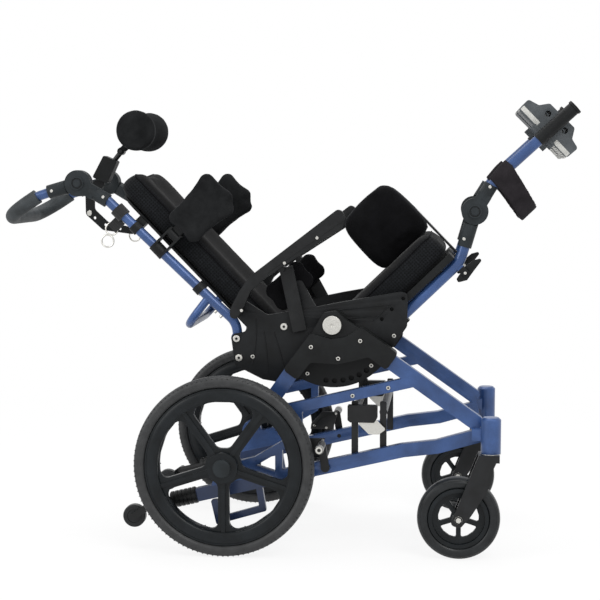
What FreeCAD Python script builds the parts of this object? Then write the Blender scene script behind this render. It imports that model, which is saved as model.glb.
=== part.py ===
import FreeCAD, Part
import math
import os

V = FreeCAD.Vector

# Tilt-in-space paediatric stroller: a wheeled base that carries a tilting seat, a reclining
# back, elevating leg rests and padded supports. Sizes are millimetres, +X forward, +Y to the
# rider's left, +Z up. Base pieces are drawn with the rear axle at X 0. Seat pieces are drawn
# upright around the tilt pivot, as (forward, left, up), and tilt back together. Everything
# is then moved so that the origin lies on the floor under the middle of the footprint.

# Driving dimensions of the whole
axle_x = -117.0
tilt_angle = 44.0
pivot_x = 236.0
pivot_z = 514.0
running_fit = 0.05
soft_gap = 0.3
cut_over = 2.0

# Lateral layout, from the middle outwards
plate_inner_y = 158.0
plate_thick = 10.0
rocker_thick = 10.0
rail_y = 200.0
rail_wide = 22.0
cane_y = 146.0
arm_y = 205.0
leg_y = 140.0
wheel_y = 270.0
caster_y = 238.0

# Rear wheels
rear_radius = 203.0
tyre_deep = 27.0
tyre_wide = 44.0
tyre_shoulder = 9.0
tyre_shoulder_deep = 14.4
tyre_crown_drop = 3.0
rim_deep = 29.0
rim_wide = 34.0
web_thick = 14.0
web_lap = 7.0
spoke_count = 5
spoke_wide = 25.0
spoke_rib_wide = 9.0
spoke_rib_high = 6.0
window_round = 17.0
window_corners = ((0, -1.0), (1, -1.0), (1, -0.34), (1, 0.34), (1, 1.0), (0, 1.0))
hub_radius = 34.0
hub_wide = 50.0
cap_radius = 20.0
cap_high = 4.0
axle_radius = 6.35
axle_head_radius = 10.0
axle_head_long = 5.0
axle_head_room = 3.0

# Casters
caster_radius = 92.0
caster_x = 590.0
caster_trail = 69.5
caster_tyre_deep = 25.0
caster_wide = 38.0
caster_hub_radius = 15.0
caster_hub_wide = 42.0
caster_web_thick = 10.0
caster_rim_deep = 9.0
caster_rim_inset = 3.2
caster_tyre_round = 9.5
caster_tyre_taper = 3.2
caster_spoke_count = 5
caster_window_inner = 19.0
caster_window_outer = 45.0
caster_window_gap = 11.0
caster_window_round = 4.0
caster_axle_radius = 5.0
barrel_radius = 22.0
barrel_low = 236.6
barrel_high = 312.4
barrel_cap_high = 5.0
stem_radius = 8.0
stem_top_gap = 10.0
fork_gap = 2.0
fork_thick = 6.0
fork_round = 9.0
fork_bolt_head = 8.5
crown_high = 16.0
crown_rear = 27.0
crown_front = 19.0
fork_upper = ((-48.0, -54.0), (-27.0, 0.0), (19.0, 0.0), (4.5, -32.0), (0.5, -62.0), (-10.0, -84.0))
fork_lower = ((26.5, 8.3), (3.5, -18.5), (-19.5, -10.5), (-7.5, 16.5))

# Side frames
lower_rail_high = 30.0
upper_rail_high = 24.0
hoop_high = 34.0
rail_edge = 3.0
hoop_edge = 12.0
rear_leg_end = (2.0, 206.0)
rear_leg_high = 20.0
hoop_rear_end = (98.0, 341.0)
strut_points = ((20.0, 192.0), (64.0, 204.0), (160.0, 262.0), (160.0, 322.0))
strut_high = 18.0
link_x = 116.0
link_wide = 16.0
hoop_low = (141.5, 402.5)
hoop_left = (190.0, 464.0)
hoop_mid = (247.0, 457.0)
hoop_right = (306.0, 477.0)
diagonal_end = (caster_x - barrel_radius, 292.0)
lower_rail_rear = (96.0, 163.0)
lower_rail_kink = (395.0, 234.0)
lower_rail_bend = (472.0, 244.0)
lower_rail_front = (caster_x - barrel_radius, 272.0)
upper_rail_rear = (84.0, 310.0)
upper_rail_front = (429.0, 392.5)
axle_plate_radius = 24.0
axle_plate_rear = -40.0
axle_plate_weld = 110.0
axle_plate_lap = 2.0
axle_plate_top = ((24.0, 206.0), (-22.0, 206.0), (-24.0, 178.0))
head_block_long = 42.0
head_block_lap = 11.0
head_block_high = 26.0
head_block_z = 277.0

# Rocker covers over the hoop, and the tilt pivot
cover_inner_y = 183.0
cover_outer_y = 220.0
cover_round = 9.0
cover_points = (
    (127.0, 414.0),
    (188.0, 496.0),
    (206.0, 492.0),
    (235.0, 484.0),
    (266.0, 489.0),
    (301.0, 511.0),
    (384.0, 453.0),
    (358.0, 416.0),
    (318.0, 445.0),
    (290.0, 437.0),
    (250.0, 428.0),
    (189.0, 431.0),
    (158.0, 391.0),
)
tab_points = (
    (196.0, 470.0),
    (188.0, 492.0),
    (216.0, 541.0),
    (244.0, 546.0),
    (264.0, 528.0),
    (300.0, 505.0),
    (290.0, 470.0),
)
tab_round = 10.0
tab_outer_y = 203.0
pivot_pin_radius = 10.0
pivot_disc_radius = 21.0
pivot_disc_thick = 8.0
pivot_dimple = 3.0

# Tilt rockers under the seat plates
rocker_radius = 144.0
rocker_hub_radius = 34.0
rocker_start = 192.0
rocker_end = 292.0
rocker_hole_circle = 129.0
rocker_hole_radius = 6.0
rocker_hole_count = 6
rocker_hole_first = 219.0
rocker_hole_step = 8.6

# Posts inside the side frames, the tubes that tie them, and a lock block on each side
post_rear_x = 286.5
post_front_x = 350.5
post_bar_wide = 15.0
post_bar_thick = 8.0
post_bar_low = 212.0
post_bar_high = 341.0
post_bar_round = 3.0
tie_radius = 9.0
tie_level = 316.0
lock_block_points = (
    (271.0, 300.0),
    (271.0, 334.0),
    (338.0, 334.0),
    (338.0, 306.0),
    (331.0, 295.0),
    (277.0, 295.0),
)
lock_block_round = 3.0
lock_block_outer = 206.0
release_points = (
    (296.0, 304.0),
    (333.0, 304.0),
    (357.0, 280.0),
    (341.0, 268.0),
    (319.0, 268.0),
    (297.0, 290.0),
)
release_round = 4.0
release_thick = 3.0
release_gap = 4.0

# Tipping levers at the rear: each lower rail's tube goes on down to a round end, with a loop
# under it, a ribbed sleeve on the end and an anti-tip rod that slides inside
lever_end = (-131.0, 108.0)
lever_neck_share = 0.74
lever_lap_share = 0.02
loop_points = ((70.0, 148.0), (79.0, 94.0), (-22.0, 64.0), (-33.0, 112.0))
loop_high = 15.0
loop_wide = 12.0
loop_edge = 3.75
sleeve_radius = 19.0
sleeve_rib_high = 2.0
sleeve_rib_count = 6
sleeve_rib_start_share = 0.2
sleeve_rib_share = 0.6
tip_rod_radius = 8.0
tip_rod_share = 0.42
tip_bore_start_share = 0.15
tip_bore_end_share = 1.2
tip_wheel_x = -217.5
tip_wheel_z = 70.5
tip_wheel_radius = 26.0
tip_wheel_wide = 20.0
tip_wheel_bore = 6.0
tip_wheel_edge = 3.3
tip_link_thick = 8.0
tip_link_wide = 16.0
tip_link_edge = 4.0

# Wheel locks in front of the rear tyres
lock_pin_reach = 19.0
lock_bar_reach = 11.0
lock_bar_rise = 42.0
lock_pin_radius = 5.0
lock_boss_radius = 10.0
lock_bar_radius = 9.0
lock_bar_overhang = 14.7
lock_arm_wide = 18.0
lock_plate_thick = 6.0
lock_plate_gap = 1.5

# Seat, in upright coordinates around the tilt pivot
seat_front = 302.0
seat_rear = -60.0
cushion_rear = -86.0
cushion_top = 4.0
cushion_low = -65.0
cushion_half = 150.0
cushion_round = 26.0
cushion_draw = 5.0
pan_deck = 4.0
pan_low = -81.2
pan_rim = 5.0
plate_points = (
    (160.0, -53.0),
    (32.0, 32.5),
    (-28.0, 70.0),
    (-96.0, 118.0),
    (-112.0, 186.0),
    (-148.0, 186.0),
    (-148.0, 117.0),
    (-188.0, 143.0),
    (-230.0, 86.0),
    (-206.0, 19.0),
    (-174.0, -24.0),
    (-100.0, -62.0),
    (0.0, -92.0),
    (60.0, -131.0),
    (116.0, -119.0),
    (168.0, -67.0),
)
plate_round = 11.0
hole_radius = 4.2
front_hole_line = ((153.2, -67.3), (117.9, -67.2), (86.1, -67.9))
socket_rear = 20.0
socket_front = 128.0
socket_low = -114.0
socket_inner_y = 124.0

# Leg hangers
leg_tube_radius = 12.5
leg_tube_z = -96.0
leg_tube_rear = -40.0
leg_tube_bend = 300.0
leg_tube_end = (352.0, -66.0)
leg_tube_bend_radius = 80.0
tube_wall = 2.0
knee_x = 402.6
knee_z = -37.0
knee_radius = 30.0
knee_half_thick = 15.0
knee_button_radius = 15.0
knee_button_high = 3.0
knee_pin_radius = 8.0
knee_sleeve_radius = 16.0
knuckle_edge = 4.0
knee_sleeve_start = (331.0, -78.1)
knee_arm_end = (470.0, -19.0)
shin_kink = (512.0, -17.0)
shin_end = (716.0, -22.0)
shin_sleeve_start = 612.0
shin_sleeve_radius = 15.0
shin_cap_long = 6.0
shin_cap_radius = 17.0

# Calf strap slung between the leg tubes
strap_points = (
    (476.0, 12.0),
    (531.0, 8.0),
    (533.0, -20.0),
    (508.0, -140.0),
    (461.0, -140.0),
    (474.0, -60.0),
)
strap_corner = 4.0
strap_thick = 5.0
strap_low = -128.0
strap_hang = -18.0
strap_round = 70.0

# Footplates
foot_inner_y = 20.0
foot_outer_y = 115.0
foot_points = (
    (628.0, 60.0),
    (660.0, 62.0),
    (668.0, 36.0),
    (688.0, 22.0),
    (690.0, -56.0),
    (669.0, -70.0),
    (664.0, -94.0),
    (631.0, -92.0),
)
foot_round = 7.0
foot_hole_radius = 7.0
foot_holes = ((669.4, 8.0), (670.4, -45.0))
foot_hinge_x = 621.0
foot_hinge_y = 119.0
foot_pin_radius = 3.0
foot_eye_radius = 5.5
foot_lug_low = -30.0
foot_lug_high = -10.0
foot_eye_long = 22.0
foot_arm_inset = 11.0

# Latch levers under the leg tubes
latch_x = 292.0
latch_z = -122.0
latch_thick = 10.0
latch_points = (
    (268.0, -119.0),
    (266.0, -127.0),
    (284.0, -137.0),
    (310.0, -132.0),
    (346.0, -126.0),
    (324.0, -114.0),
    (300.0, -112.0),
)
latch_round = 4.0
latch_pin_radius = 4.0
latch_ear_radius = 8.0
latch_ear_thick = 4.0
latch_ear_drop = 4.0

# Back, in upright coordinates
cane_radius = 11.1
cane_eye_radius = 14.0
cane_low = (-184.6, 127.3)
cane_bend_low = (-163.0, 155.0)
cane_bend_high = (-168.0, 226.0)
cane_top = (-184.0, 578.0)
cane_bend_radius = 50.0
recline_pin_radius = 5.0
shell_front = -151.0
shell_thick = 5.0
shell_half = 132.0
shell_low = 96.0
shell_high = 548.0
shell_round = 40.0
shell_clamp_high = 18.0
shell_clamp_wall = 3.5
shell_clamp_levels = (270.0, 470.0)
back_front = -90.0
back_low = 24.0
back_high = 575.0
back_half = 136.0
back_round = 34.0
back_draw = 5.0
crossbar_radius = 9.5
crossbar_root = 240.0
crossbar_rear = -252.0
crossbar_drop = 228.0
crossbar_bend = 45.0

# Push handle
handle_x = -205.0
handle_z = 636.2
handle_radius = 30.0
handle_half_thick = 15.0
handle_pin_radius = 8.0
handle_button_radius = 15.0
handle_button_high = 3.0
handle_sleeve_radius = 16.0
housing_sleeve_low = 560.0
knuckle_end = (-270.0, 670.5)
handle_start = (-242.0, 656.0)
handle_kink = (-296.0, 682.0)
handle_corner = (-384.0, 699.0)
handle_bend = 66.0
grip_start = (-292.0, 680.0)
grip_radius = 17.0

# Headrest
head_block_points = ((-196.0, 646.0), (-140.0, 664.0), (-126.0, 631.0), (-180.0, 610.0))
head_block_half = 16.0
head_block_edge = 4.0
head_bracket_points = (
    (-196.0, 640.0),
    (-240.0, 630.0),
    (-272.0, 596.0),
    (-268.0, 540.0),
    (-222.0, 482.0),
    (-156.5, 474.0),
    (-156.5, 486.0),
    (-214.0, 498.0),
    (-246.0, 546.0),
    (-248.0, 590.0),
    (-226.0, 612.0),
    (-180.0, 614.0),
)
head_bracket_half = 3.0
head_bracket_round = 14.0
head_bracket_holes = ((-262.0, 575.0), (-255.0, 545.0), (-236.0, 514.0), (-205.0, 491.0))
head_bracket_hole = 3.5
stem_start = (-176.0, 634.0)
head_joint = (-104.0, 643.0)
head_stem_radius = 6.0
head_barrel_radius = 9.0
head_barrel_half = 8.0
head_pin_radius = 4.0
head_pad_radius = 47.0
head_pad_middle = (-44.0, 641.0)
head_pad_half = 92.0
head_pad_neck = 34.0
head_pad_shares = (-1.0, -0.94, -0.62, -0.3, 0.0, 0.3, 0.62, 0.94, 1.0)
head_pad_full_share = 0.62
head_pad_end_share = 0.72
head_wing_forward = 12.0
head_mount_half = 14.0
head_mount_front = -70.0
head_mount_high = 10.0

# Lateral supports
lateral_points = ((-112.0, 348.0), (-114.0, 439.0), (32.0, 453.0), (38.0, 372.0), (10.0, 335.0))
lateral_level = 398.0
lateral_arm_front = -30.0
lateral_inner_y = 141.0
lateral_outer_y = 166.0
lateral_round = 20.0
lateral_draw = 2.0
lateral_hinge_x = -128.0
lateral_hinge_y = 152.0
lateral_pin_radius = 5.0
lateral_knuckle_radius = 10.0
lateral_knuckle_high = 24.0
lateral_arm_thick = 6.0
lateral_lug = 5.0

# Armrests
arm_wide = 24.0
arm_points = (
    (-153.0, 171.0),
    (-142.0, 183.0),
    (-98.0, 198.0),
    (-58.0, 206.0),
    (-26.0, 202.0),
    (188.0, 178.0),
    (193.0, 168.0),
    (187.0, 150.0),
    (166.0, 138.0),
    (150.0, 144.0),
    (6.0, 172.0),
    (-38.0, 179.0),
    (-78.0, 181.0),
    (-120.0, 164.0),
    (-146.0, 157.0),
)
arm_groove_points = (
    (-30.0, 150.0),
    (-24.0, 183.0),
    (16.0, 178.0),
    (184.0, 150.0),
    (206.0, 130.0),
)
arm_groove = 2.0
arm_round = 8.0
arm_hinge = (-134.0, 170.0)
arm_pin_radius = 5.0
arm_boss_radius = 11.0
post_top = (12.0, 166.0)
post_low = (-66.0, 40.0)
post_wide = 32.0
post_thick = 8.0
post_round = 3.0
post_gap = 4.0
post_bridge_at = (4.0, 170.0)
post_bridge_radius = 8.0
large_bolts = ((-86.5, 72.2), (-54.7, 59.5), (-211.0, 92.0), cane_low)
large_bolt_radius = 8.0
large_bolt_high = 3.5

# Hip guards inside the armrests
guard_points = ((-74.0, 92.0), (-68.0, 168.0), (44.0, 168.0), (40.0, 96.0))
guard_thick = 15.0
guard_round = 22.0
guard_draw = 2.0
guard_tab = ((-22.0, 40.0), (2.0, 128.0))
guard_tab_wide = 30.0
guard_tab_thick = 4.0

# Pommel between the knees
pommel_rear = 147.0
pommel_front = 308.5
pommel_low = 4.6
pommel_high = 157.0
pommel_half = 54.0
pommel_round = 24.0
pommel_draw = 3.0
tongue_half = 18.0
tongue_thick = 5.0
tongue_long = 150.0
tongue_high = 56.0
tongue_insert = 44.0
tongue_insert_level = 50.0
guide_rear = 214.0
guide_front = 250.0
guide_wall = 4.0

# Straps and rings on the canes
clamp_level = 521.0
clamp_high = 26.0
clamp_wall = 6.0
clamp_tail_long = 30.0
clamp_tail_thick = 5.0
ring_radius = 14.0
ring_wire = 1.6
low_ring_rear = 26.6

# Round-headed screws
screw_radius = 4.6
screw_high = 3.0
screw_socket = 2.0
screw_socket_deep = 1.5
cover_screws = ((300.0, 481.0), (190.0, 466.0), (251.0, 441.0))
rail_screws = ((282.7, 356.5), (362.4, 375.5))
plate_screws = ((80.0, -114.0), (-186.3, 71.9))
rocker_screws = ((-2.4, -127.0), (-120.2, -41.0))

rear_axle_z = rear_radius
plate_outer_y = plate_inner_y + plate_thick
rocker_outer_y = plate_outer_y + rocker_thick
rail_inner_y = rail_y - rail_wide / 2
rail_outer_y = rail_y + rail_wide / 2
hoop_line = [hoop_rear_end, hoop_low, hoop_left, hoop_mid, hoop_right, diagonal_end]
lock_x = rear_radius + lock_pin_reach
lock_bar_x = rear_radius + lock_bar_reach
lock_bar_z = rear_axle_z + lock_bar_rise
lateral_pad_outline = [V(x, z, 0) for x, z in lateral_points]
guard_outline = [V(x, z, 0) for x, z in guard_points]

# Share of a side that a corner's rounding may take
corner_share = 0.45


def cylinder(start, end, radius):
    # A round bar from one point to another.
    run = end - start
    return Part.makeCylinder(radius, run.Length, start, run)


def ring(start, end, outer, inner):
    # A round sleeve from one point to another.
    return cylinder(start, end, outer).cut(cylinder(start, end, inner))


def level_at(x, start, end):
    # The level at x on the straight line through two side-view points.
    return start[1] + (end[1] - start[1]) * (x - start[0]) / (end[0] - start[0])


def across(point, y_low, y_high, radius):
    # A round bar along Y through a side-view point.
    x, z = point
    return cylinder(V(x, y_low, z), V(x, y_high, z), radius)


def block(x_low, x_high, y_low, y_high, z_low, z_high):
    # An upright box between its limits.
    return Part.makeBox(x_high - x_low, y_high - y_low, z_high - z_low, V(x_low, y_low, z_low))


def rounded_wire(corners, radius, draw=0.0):
    # A closed outline with a tangent arc at each corner. Its sides are straight, or arcs that
    # are drawn in by the given depth.
    edges = []
    ends = []
    count = len(corners)
    middle = V(0, 0, 0)
    for corner in corners:
        middle = middle + corner / count
    for index in range(count):
        here = corners[index]
        back = corners[index - 1] - here
        ahead = corners[(index + 1) % count] - here
        turn = math.pi - back.getAngle(ahead)
        side_limit = min(back.Length, ahead.Length) * corner_share
        reach = min(radius * math.tan(turn / 2), side_limit)
        back.normalize()
        ahead.normalize()
        first = here + back * reach
        last = here + ahead * reach
        bisector = back + ahead
        bisector.normalize()
        real = reach / math.tan(turn / 2)
        centre = here + bisector * (real / math.cos(turn / 2))
        ends.append((first, centre - bisector * real, last))
    for index in range(count):
        first, crest, last = ends[index]
        edges.append(Part.Arc(first, crest, last).toShape())
        following = ends[(index + 1) % count][0]
        if draw > 0:
            halfway = (last + following) * 0.5
            inward = (middle - halfway).normalize()
            edges.append(Part.Arc(last, halfway + inward * draw, following).toShape())
        else:
            edges.append(Part.LineSegment(last, following).toShape())
    return Part.Wire(edges)


def plate(points, radius, y_low, y_high):
    # A flat piece: a rounded side-view outline carried along Y.
    corners = [V(x, y_low, z) for x, z in points]
    outline = Part.Face(rounded_wire(corners, radius))
    return outline.extrude(V(0, y_high - y_low, 0))


def strip(points, high):
    # The side-view outline of a bar of even height along a bent line.
    lines = [V(x, 0, z) for x, z in points]
    upper = []
    lower = []
    for index, here in enumerate(lines):
        directions = []
        if index > 0:
            directions.append((here - lines[index - 1]).normalize())
        if index < len(lines) - 1:
            directions.append((lines[index + 1] - here).normalize())
        normals = [V(-run.z, 0, run.x) for run in directions]
        total = V(0, 0, 0)
        for normal in normals:
            total = total + normal
        total.normalize()
        offset = total * (high / 2 / total.dot(normals[0]))
        upper.append((here.x + offset.x, here.z + offset.z))
        lower.append((here.x - offset.x, here.z - offset.z))
    return upper + lower[::-1]


def rail(points, high, y_low, y_high, radius):
    # A flat-sided tube, drawn solid: a bent bar of even height.
    return plate(strip(points, high), radius, y_low, y_high)


def path_wire(points, bend):
    # Straight runs joined by tangent arcs.
    edges = []
    start = points[0]
    for index in range(1, len(points) - 1):
        here = points[index]
        back = (points[index - 1] - here).normalize()
        ahead = (points[index + 1] - here).normalize()
        turn = math.pi - back.getAngle(ahead)
        reach = bend * math.tan(turn / 2)
        first = here + back * reach
        last = here + ahead * reach
        bisector = (back + ahead).normalize()
        centre = here + bisector * (bend / math.cos(turn / 2))
        edges.append(Part.LineSegment(start, first).toShape())
        edges.append(Part.Arc(first, centre - bisector * bend, last).toShape())
        start = last
    edges.append(Part.LineSegment(start, points[-1]).toShape())
    return Part.Wire(edges)


def bar(points, bend, radius):
    # A round bar swept along runs and arcs.
    path = path_wire(points, bend)
    heading = points[1] - points[0]
    profile = Part.Wire(Part.makeCircle(radius, points[0], heading))
    return path.makePipeShell([profile], True, False)


def pipe(points, bend, radius, wall):
    # A round tube swept along runs and arcs, open at both ends.
    return bar(points, bend, radius).cut(bar(points, bend, radius - wall))


def inset_corners(corners, take):
    # The same outline with each side moved inwards.
    moved = []
    for index, here in enumerate(corners):
        back = (corners[index - 1] - here).normalize()
        ahead = (corners[(index + 1) % len(corners)] - here).normalize()
        half_angle = back.getAngle(ahead) / 2
        moved.append(here + (back + ahead).normalize() * (take / math.sin(half_angle)))
    return moved


# Shares of a pad's thickness, and of its edge rounding that the outline is drawn in there.
pad_level_shares = (0.0, 0.14, 0.5, 0.82, 1.0)
pad_inset_shares = (0.38, 0.05, 0.0, 0.16, 0.85)
pad_edge_share = 0.9


def pad(corners, thick, radius, draw):
    # A cushion on its back: crowned front, drawn-in sides and a rounded rear edge.
    edge = min(radius, thick * pad_edge_share)
    sections = []
    for level, inset in zip(pad_level_shares, pad_inset_shares):
        outline = inset_corners(corners, inset * edge)
        raised = [V(corner.x, corner.y, level * thick) for corner in outline]
        sections.append(rounded_wire(raised, radius, draw))
    return Part.makeLoft(sections, True, False)


def pad_between(x_low, x_high, y_low, y_high, z_low, z_high, radius, draw, face):
    # A cushion that fills a box, its crowned face upwards or forwards.
    y_half = (y_high - y_low) / 2
    middle_y = (y_high + y_low) / 2
    if face == "up":
        long_half = (x_high - x_low) / 2
        thick = z_high - z_low
    else:
        long_half = (z_high - z_low) / 2
        thick = x_high - x_low
    corners = [
        V(long_half, y_half, 0),
        V(-long_half, y_half, 0),
        V(-long_half, -y_half, 0),
        V(long_half, -y_half, 0),
    ]
    shape = pad(corners, thick, radius, draw)
    if face == "up":
        shape.translate(V((x_low + x_high) / 2, middle_y, z_low))
    else:
        shape.rotate(V(0, 0, 0), V(0, 1, 0), 90)
        shape.translate(V(x_low, middle_y, (z_low + z_high) / 2))
    return shape


def side_pad(corners, radius, draw, y_low, y_high):
    # A cushion with a side-view outline, its crowned face towards the middle of the seat.
    shape = pad(corners, y_high - y_low, radius, draw)
    shape.rotate(V(0, 0, 0), V(1, 0, 0), 90)
    shape.translate(V(0, y_high, 0))
    return shape


def fuse(shapes):
    # One solid from pieces that are welded or moulded together.
    whole = shapes[0].multiFuse(shapes[1:])
    return whole.removeSplitter()


def mirrored(shape):
    # The same piece on the other side of the middle plane.
    return shape.mirror(V(0, 0, 0), V(0, 1, 0))


def tilted(shape):
    # From the upright seat frame to the tilted seat on its pivot.
    copy = shape.copy()
    copy.rotate(V(0, 0, 0), V(0, 1, 0), -tilt_angle)
    copy.translate(V(pivot_x, 0, pivot_z))
    return copy


def save(name, shapes):
    # One node, moved so that the origin lies under the middle of the footprint.
    solids = []
    for shape in shapes:
        solids.extend(shape.Solids)
    whole = Part.makeCompound(solids) if len(solids) > 1 else solids[0]
    whole.translate(V(axle_x, 0, 0))
    whole.exportStep("parts/" + name + ".step")
    volume = sum(solid.Volume for solid in solids)
    print(name, len(solids), "solids", round(volume / 1000, 1), "cm3", whole.isValid())


def save_sides(name, left, place=None):
    # A left-hand piece and its mirror image, as two nodes.
    if place is not None:
        left_placed = place(left)
        right_placed = place(mirrored(left))
    else:
        left_placed = left
        right_placed = mirrored(left)
    save(name + "_left", [left_placed])
    save(name + "_right", [right_placed])


def screw(point, y_face):
    # A round head with a socket, its seat on a face at y_face.
    x, z = point
    head = cylinder(V(x, y_face, z), V(x, y_face + screw_high, z), screw_radius)
    floor = y_face + screw_high - screw_socket_deep
    socket = cylinder(V(x, floor, z), V(x, y_face + screw_high + cut_over, z), screw_socket)
    return head.cut(socket)


def rail_level(x):
    # The level of the lower rail's middle line between its rear end and its kink.
    return level_at(x, lower_rail_rear, lower_rail_kink)


def lever_top(x):
    # The level of the tipping lever's upper face.
    run = math.dist(lower_rail_rear, lever_end)
    rise = lower_rail_high / 2 * run / (lower_rail_rear[0] - lever_end[0])
    return level_at(x, lower_rail_rear, lever_end) + rise


def make_axle_plate():
    # The plate from the axle boss down to the lower rail and the lever's upper face.
    weld_x = lower_rail_rear[0]
    foot = [
        (axle_plate_rear, lever_top(axle_plate_rear) - axle_plate_lap),
        (weld_x, lever_top(weld_x) - axle_plate_lap),
        (axle_plate_weld, rail_level(axle_plate_weld)),
        (axle_plate_weld, rail_level(axle_plate_weld) + lower_rail_high / 2 - axle_plate_lap),
    ]
    web = plate(foot + list(axle_plate_top), rail_edge, rail_inner_y, rail_outer_y)
    return web.fuse(across((0, rear_axle_z), rail_inner_y, rail_outer_y, axle_plate_radius))


def make_side_frame():
    # One side: hoop and diagonal in one tube, two rails, axle plate and caster head.
    low = rail_inner_y
    high = rail_outer_y
    lower_points = [lower_rail_rear, lower_rail_kink, lower_rail_bend, lower_rail_front]
    pieces = [
        rail(hoop_line, hoop_high, low, high, hoop_edge),
        rail(lower_points, lower_rail_high, low, high, rail_edge),
        rail([upper_rail_rear, upper_rail_front], upper_rail_high, low, high, rail_edge),
        rail([hoop_rear_end, rear_leg_end], rear_leg_high, low, high, rail_edge),
        rail(list(strut_points), strut_high, low, high, rail_edge),
        block(
            link_x - link_wide / 2,
            link_x + link_wide / 2,
            low,
            high,
            rail_level(link_x),
            level_at(link_x, strut_points[1], strut_points[2]),
        ),
        make_axle_plate(),
        block(
            caster_x - head_block_long,
            caster_x - head_block_lap,
            rail_y,
            caster_y,
            head_block_z - head_block_high / 2,
            head_block_z + head_block_high / 2,
        ),
        make_caster_barrel(),
    ]
    frame = fuse(pieces)
    bore_low = V(caster_x, caster_y, barrel_low - cut_over)
    bore_high = V(caster_x, caster_y, barrel_high - barrel_cap_high)
    stem_bore = cylinder(bore_low, bore_high, stem_radius + running_fit)
    axle_hole = across((0, rear_axle_z), low - cut_over, high + cut_over, axle_radius + running_fit)
    lock_at = (lock_x, rail_level(lock_x))
    lock_hole = across(lock_at, low - cut_over, high + cut_over, lock_pin_radius + running_fit)
    return frame.cut(stem_bore).cut(axle_hole).cut(lock_hole)


def make_cover():
    # A moulded cover that wraps the hoop, with a tab that carries the tilt pivot.
    outer = plate(cover_points, cover_round, cover_inner_y, cover_outer_y)
    tab = plate(tab_points, tab_round, cover_inner_y, tab_outer_y)
    whole = fuse([outer, tab])
    channel = rail(hoop_line, hoop_high, rail_inner_y, rail_outer_y, hoop_edge)
    bore = across((pivot_x, pivot_z), cover_inner_y - cut_over, tab_outer_y + cut_over, pivot_pin_radius)
    return whole.cut(channel).cut(bore)


def make_pivot_bolt():
    # The tilt pivot: a pin through plate, rocker and tab, with a broad bright head.
    pin = across((pivot_x, pivot_z), plate_inner_y, tab_outer_y, pivot_pin_radius)
    head = across((pivot_x, pivot_z), tab_outer_y, tab_outer_y + pivot_disc_thick, pivot_disc_radius)
    face = tab_outer_y + pivot_disc_thick
    dimple = across((pivot_x, pivot_z), face - pivot_dimple, face + cut_over, pivot_dimple)
    return pin.fuse(head).cut(dimple)


def make_caster_barrel():
    # The bearing barrel of a caster, with its domed cap.
    centre = V(caster_x, caster_y, barrel_low)
    outer = cylinder(centre, V(caster_x, caster_y, barrel_high), barrel_radius)
    cap = Part.makeCone(
        barrel_radius,
        barrel_radius - barrel_cap_high,
        barrel_cap_high,
        V(caster_x, caster_y, barrel_high),
    )
    return outer.fuse(cap)


def make_brace():
    # Two posts inside each side frame, and the round tubes that tie the two sides together.
    top = rail_inner_y - running_fit
    low = top - post_bar_thick
    pieces = []
    for x in (post_rear_x, post_front_x):
        tie = cylinder(V(x, -low, tie_level), V(x, low, tie_level), tie_radius)
        posts = []
        for y_low, y_high in ((low, top), (-top, -low)):
            corners = (
                (x - post_bar_wide / 2, post_bar_low),
                (x + post_bar_wide / 2, post_bar_low),
                (x + post_bar_wide / 2, post_bar_high),
                (x - post_bar_wide / 2, post_bar_high),
            )
            posts.append(plate(corners, post_bar_round, y_low, y_high))
        pieces.append(fuse([tie] + posts))
    return pieces


def make_brace_latch():
    # A lock block in front of the posts of one side, and the bright plate that hangs from it.
    low = rail_inner_y + running_fit
    box = plate(lock_block_points, lock_block_round, low, lock_block_outer)
    face = lock_block_outer - release_gap
    release = plate(release_points, release_round, face - release_thick, face)
    return [box.cut(release), release]


def make_rear_axle():
    # A pin through the axle plate, with a head outside the hub.
    outer = wheel_y + hub_wide / 2 + running_fit
    pin = across((0, rear_axle_z), rail_inner_y, outer, axle_radius)
    head = across((0, rear_axle_z), outer, outer + axle_head_long, axle_head_radius)
    return pin.fuse(head)


def along_lever(share):
    # A point on the tipping lever's middle line: 0 at its root, 1 at its rear end.
    root = V(lower_rail_rear[0], rail_y, lower_rail_rear[1])
    end = V(lever_end[0], rail_y, lever_end[1])
    return root + (end - root) * share


def make_tipping_lever():
    # The square tube, and the bent flat bar that hangs under it.
    neck = along_lever(lever_neck_share)
    root = along_lever(-lever_lap_share)
    tube_line = [(root.x, root.z), (neck.x, neck.z)]
    tube = rail(tube_line, lower_rail_high, rail_inner_y, rail_outer_y, rail_edge)
    spigot = cylinder(neck, along_lever(1.0), rail_wide / 2)
    loop_inner = rail_y - loop_wide / 2
    loop = rail(list(loop_points), loop_high, loop_inner, loop_inner + loop_wide, loop_edge)
    bore_start = along_lever(tip_bore_start_share)
    bore = cylinder(bore_start, along_lever(tip_bore_end_share), tip_rod_radius + running_fit)
    lever = fuse([tube, spigot, loop]).cut(bore)
    return lever.cut(make_side_frame())


def make_tipping_sleeve():
    # The ribbed rubber sleeve on the lever's round end.
    start = along_lever(lever_neck_share)
    end = along_lever(1.0)
    pieces = [cylinder(start, end, sleeve_radius - sleeve_rib_high)]
    for index in range(sleeve_rib_count):
        rib_start = (index + sleeve_rib_start_share) / sleeve_rib_count
        rib_end = rib_start + sleeve_rib_share / sleeve_rib_count
        low = start + (end - start) * rib_start
        high = start + (end - start) * rib_end
        pieces.append(cylinder(low, high, sleeve_radius))
    return fuse(pieces).cut(cylinder(start, end, rail_wide / 2))


def make_frame_screws():
    # Screws on the covers and on the upper rails of one side.
    heads = [screw(point, cover_outer_y) for point in cover_screws]
    heads += [screw(point, rail_outer_y) for point in rail_screws]
    return heads


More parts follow.
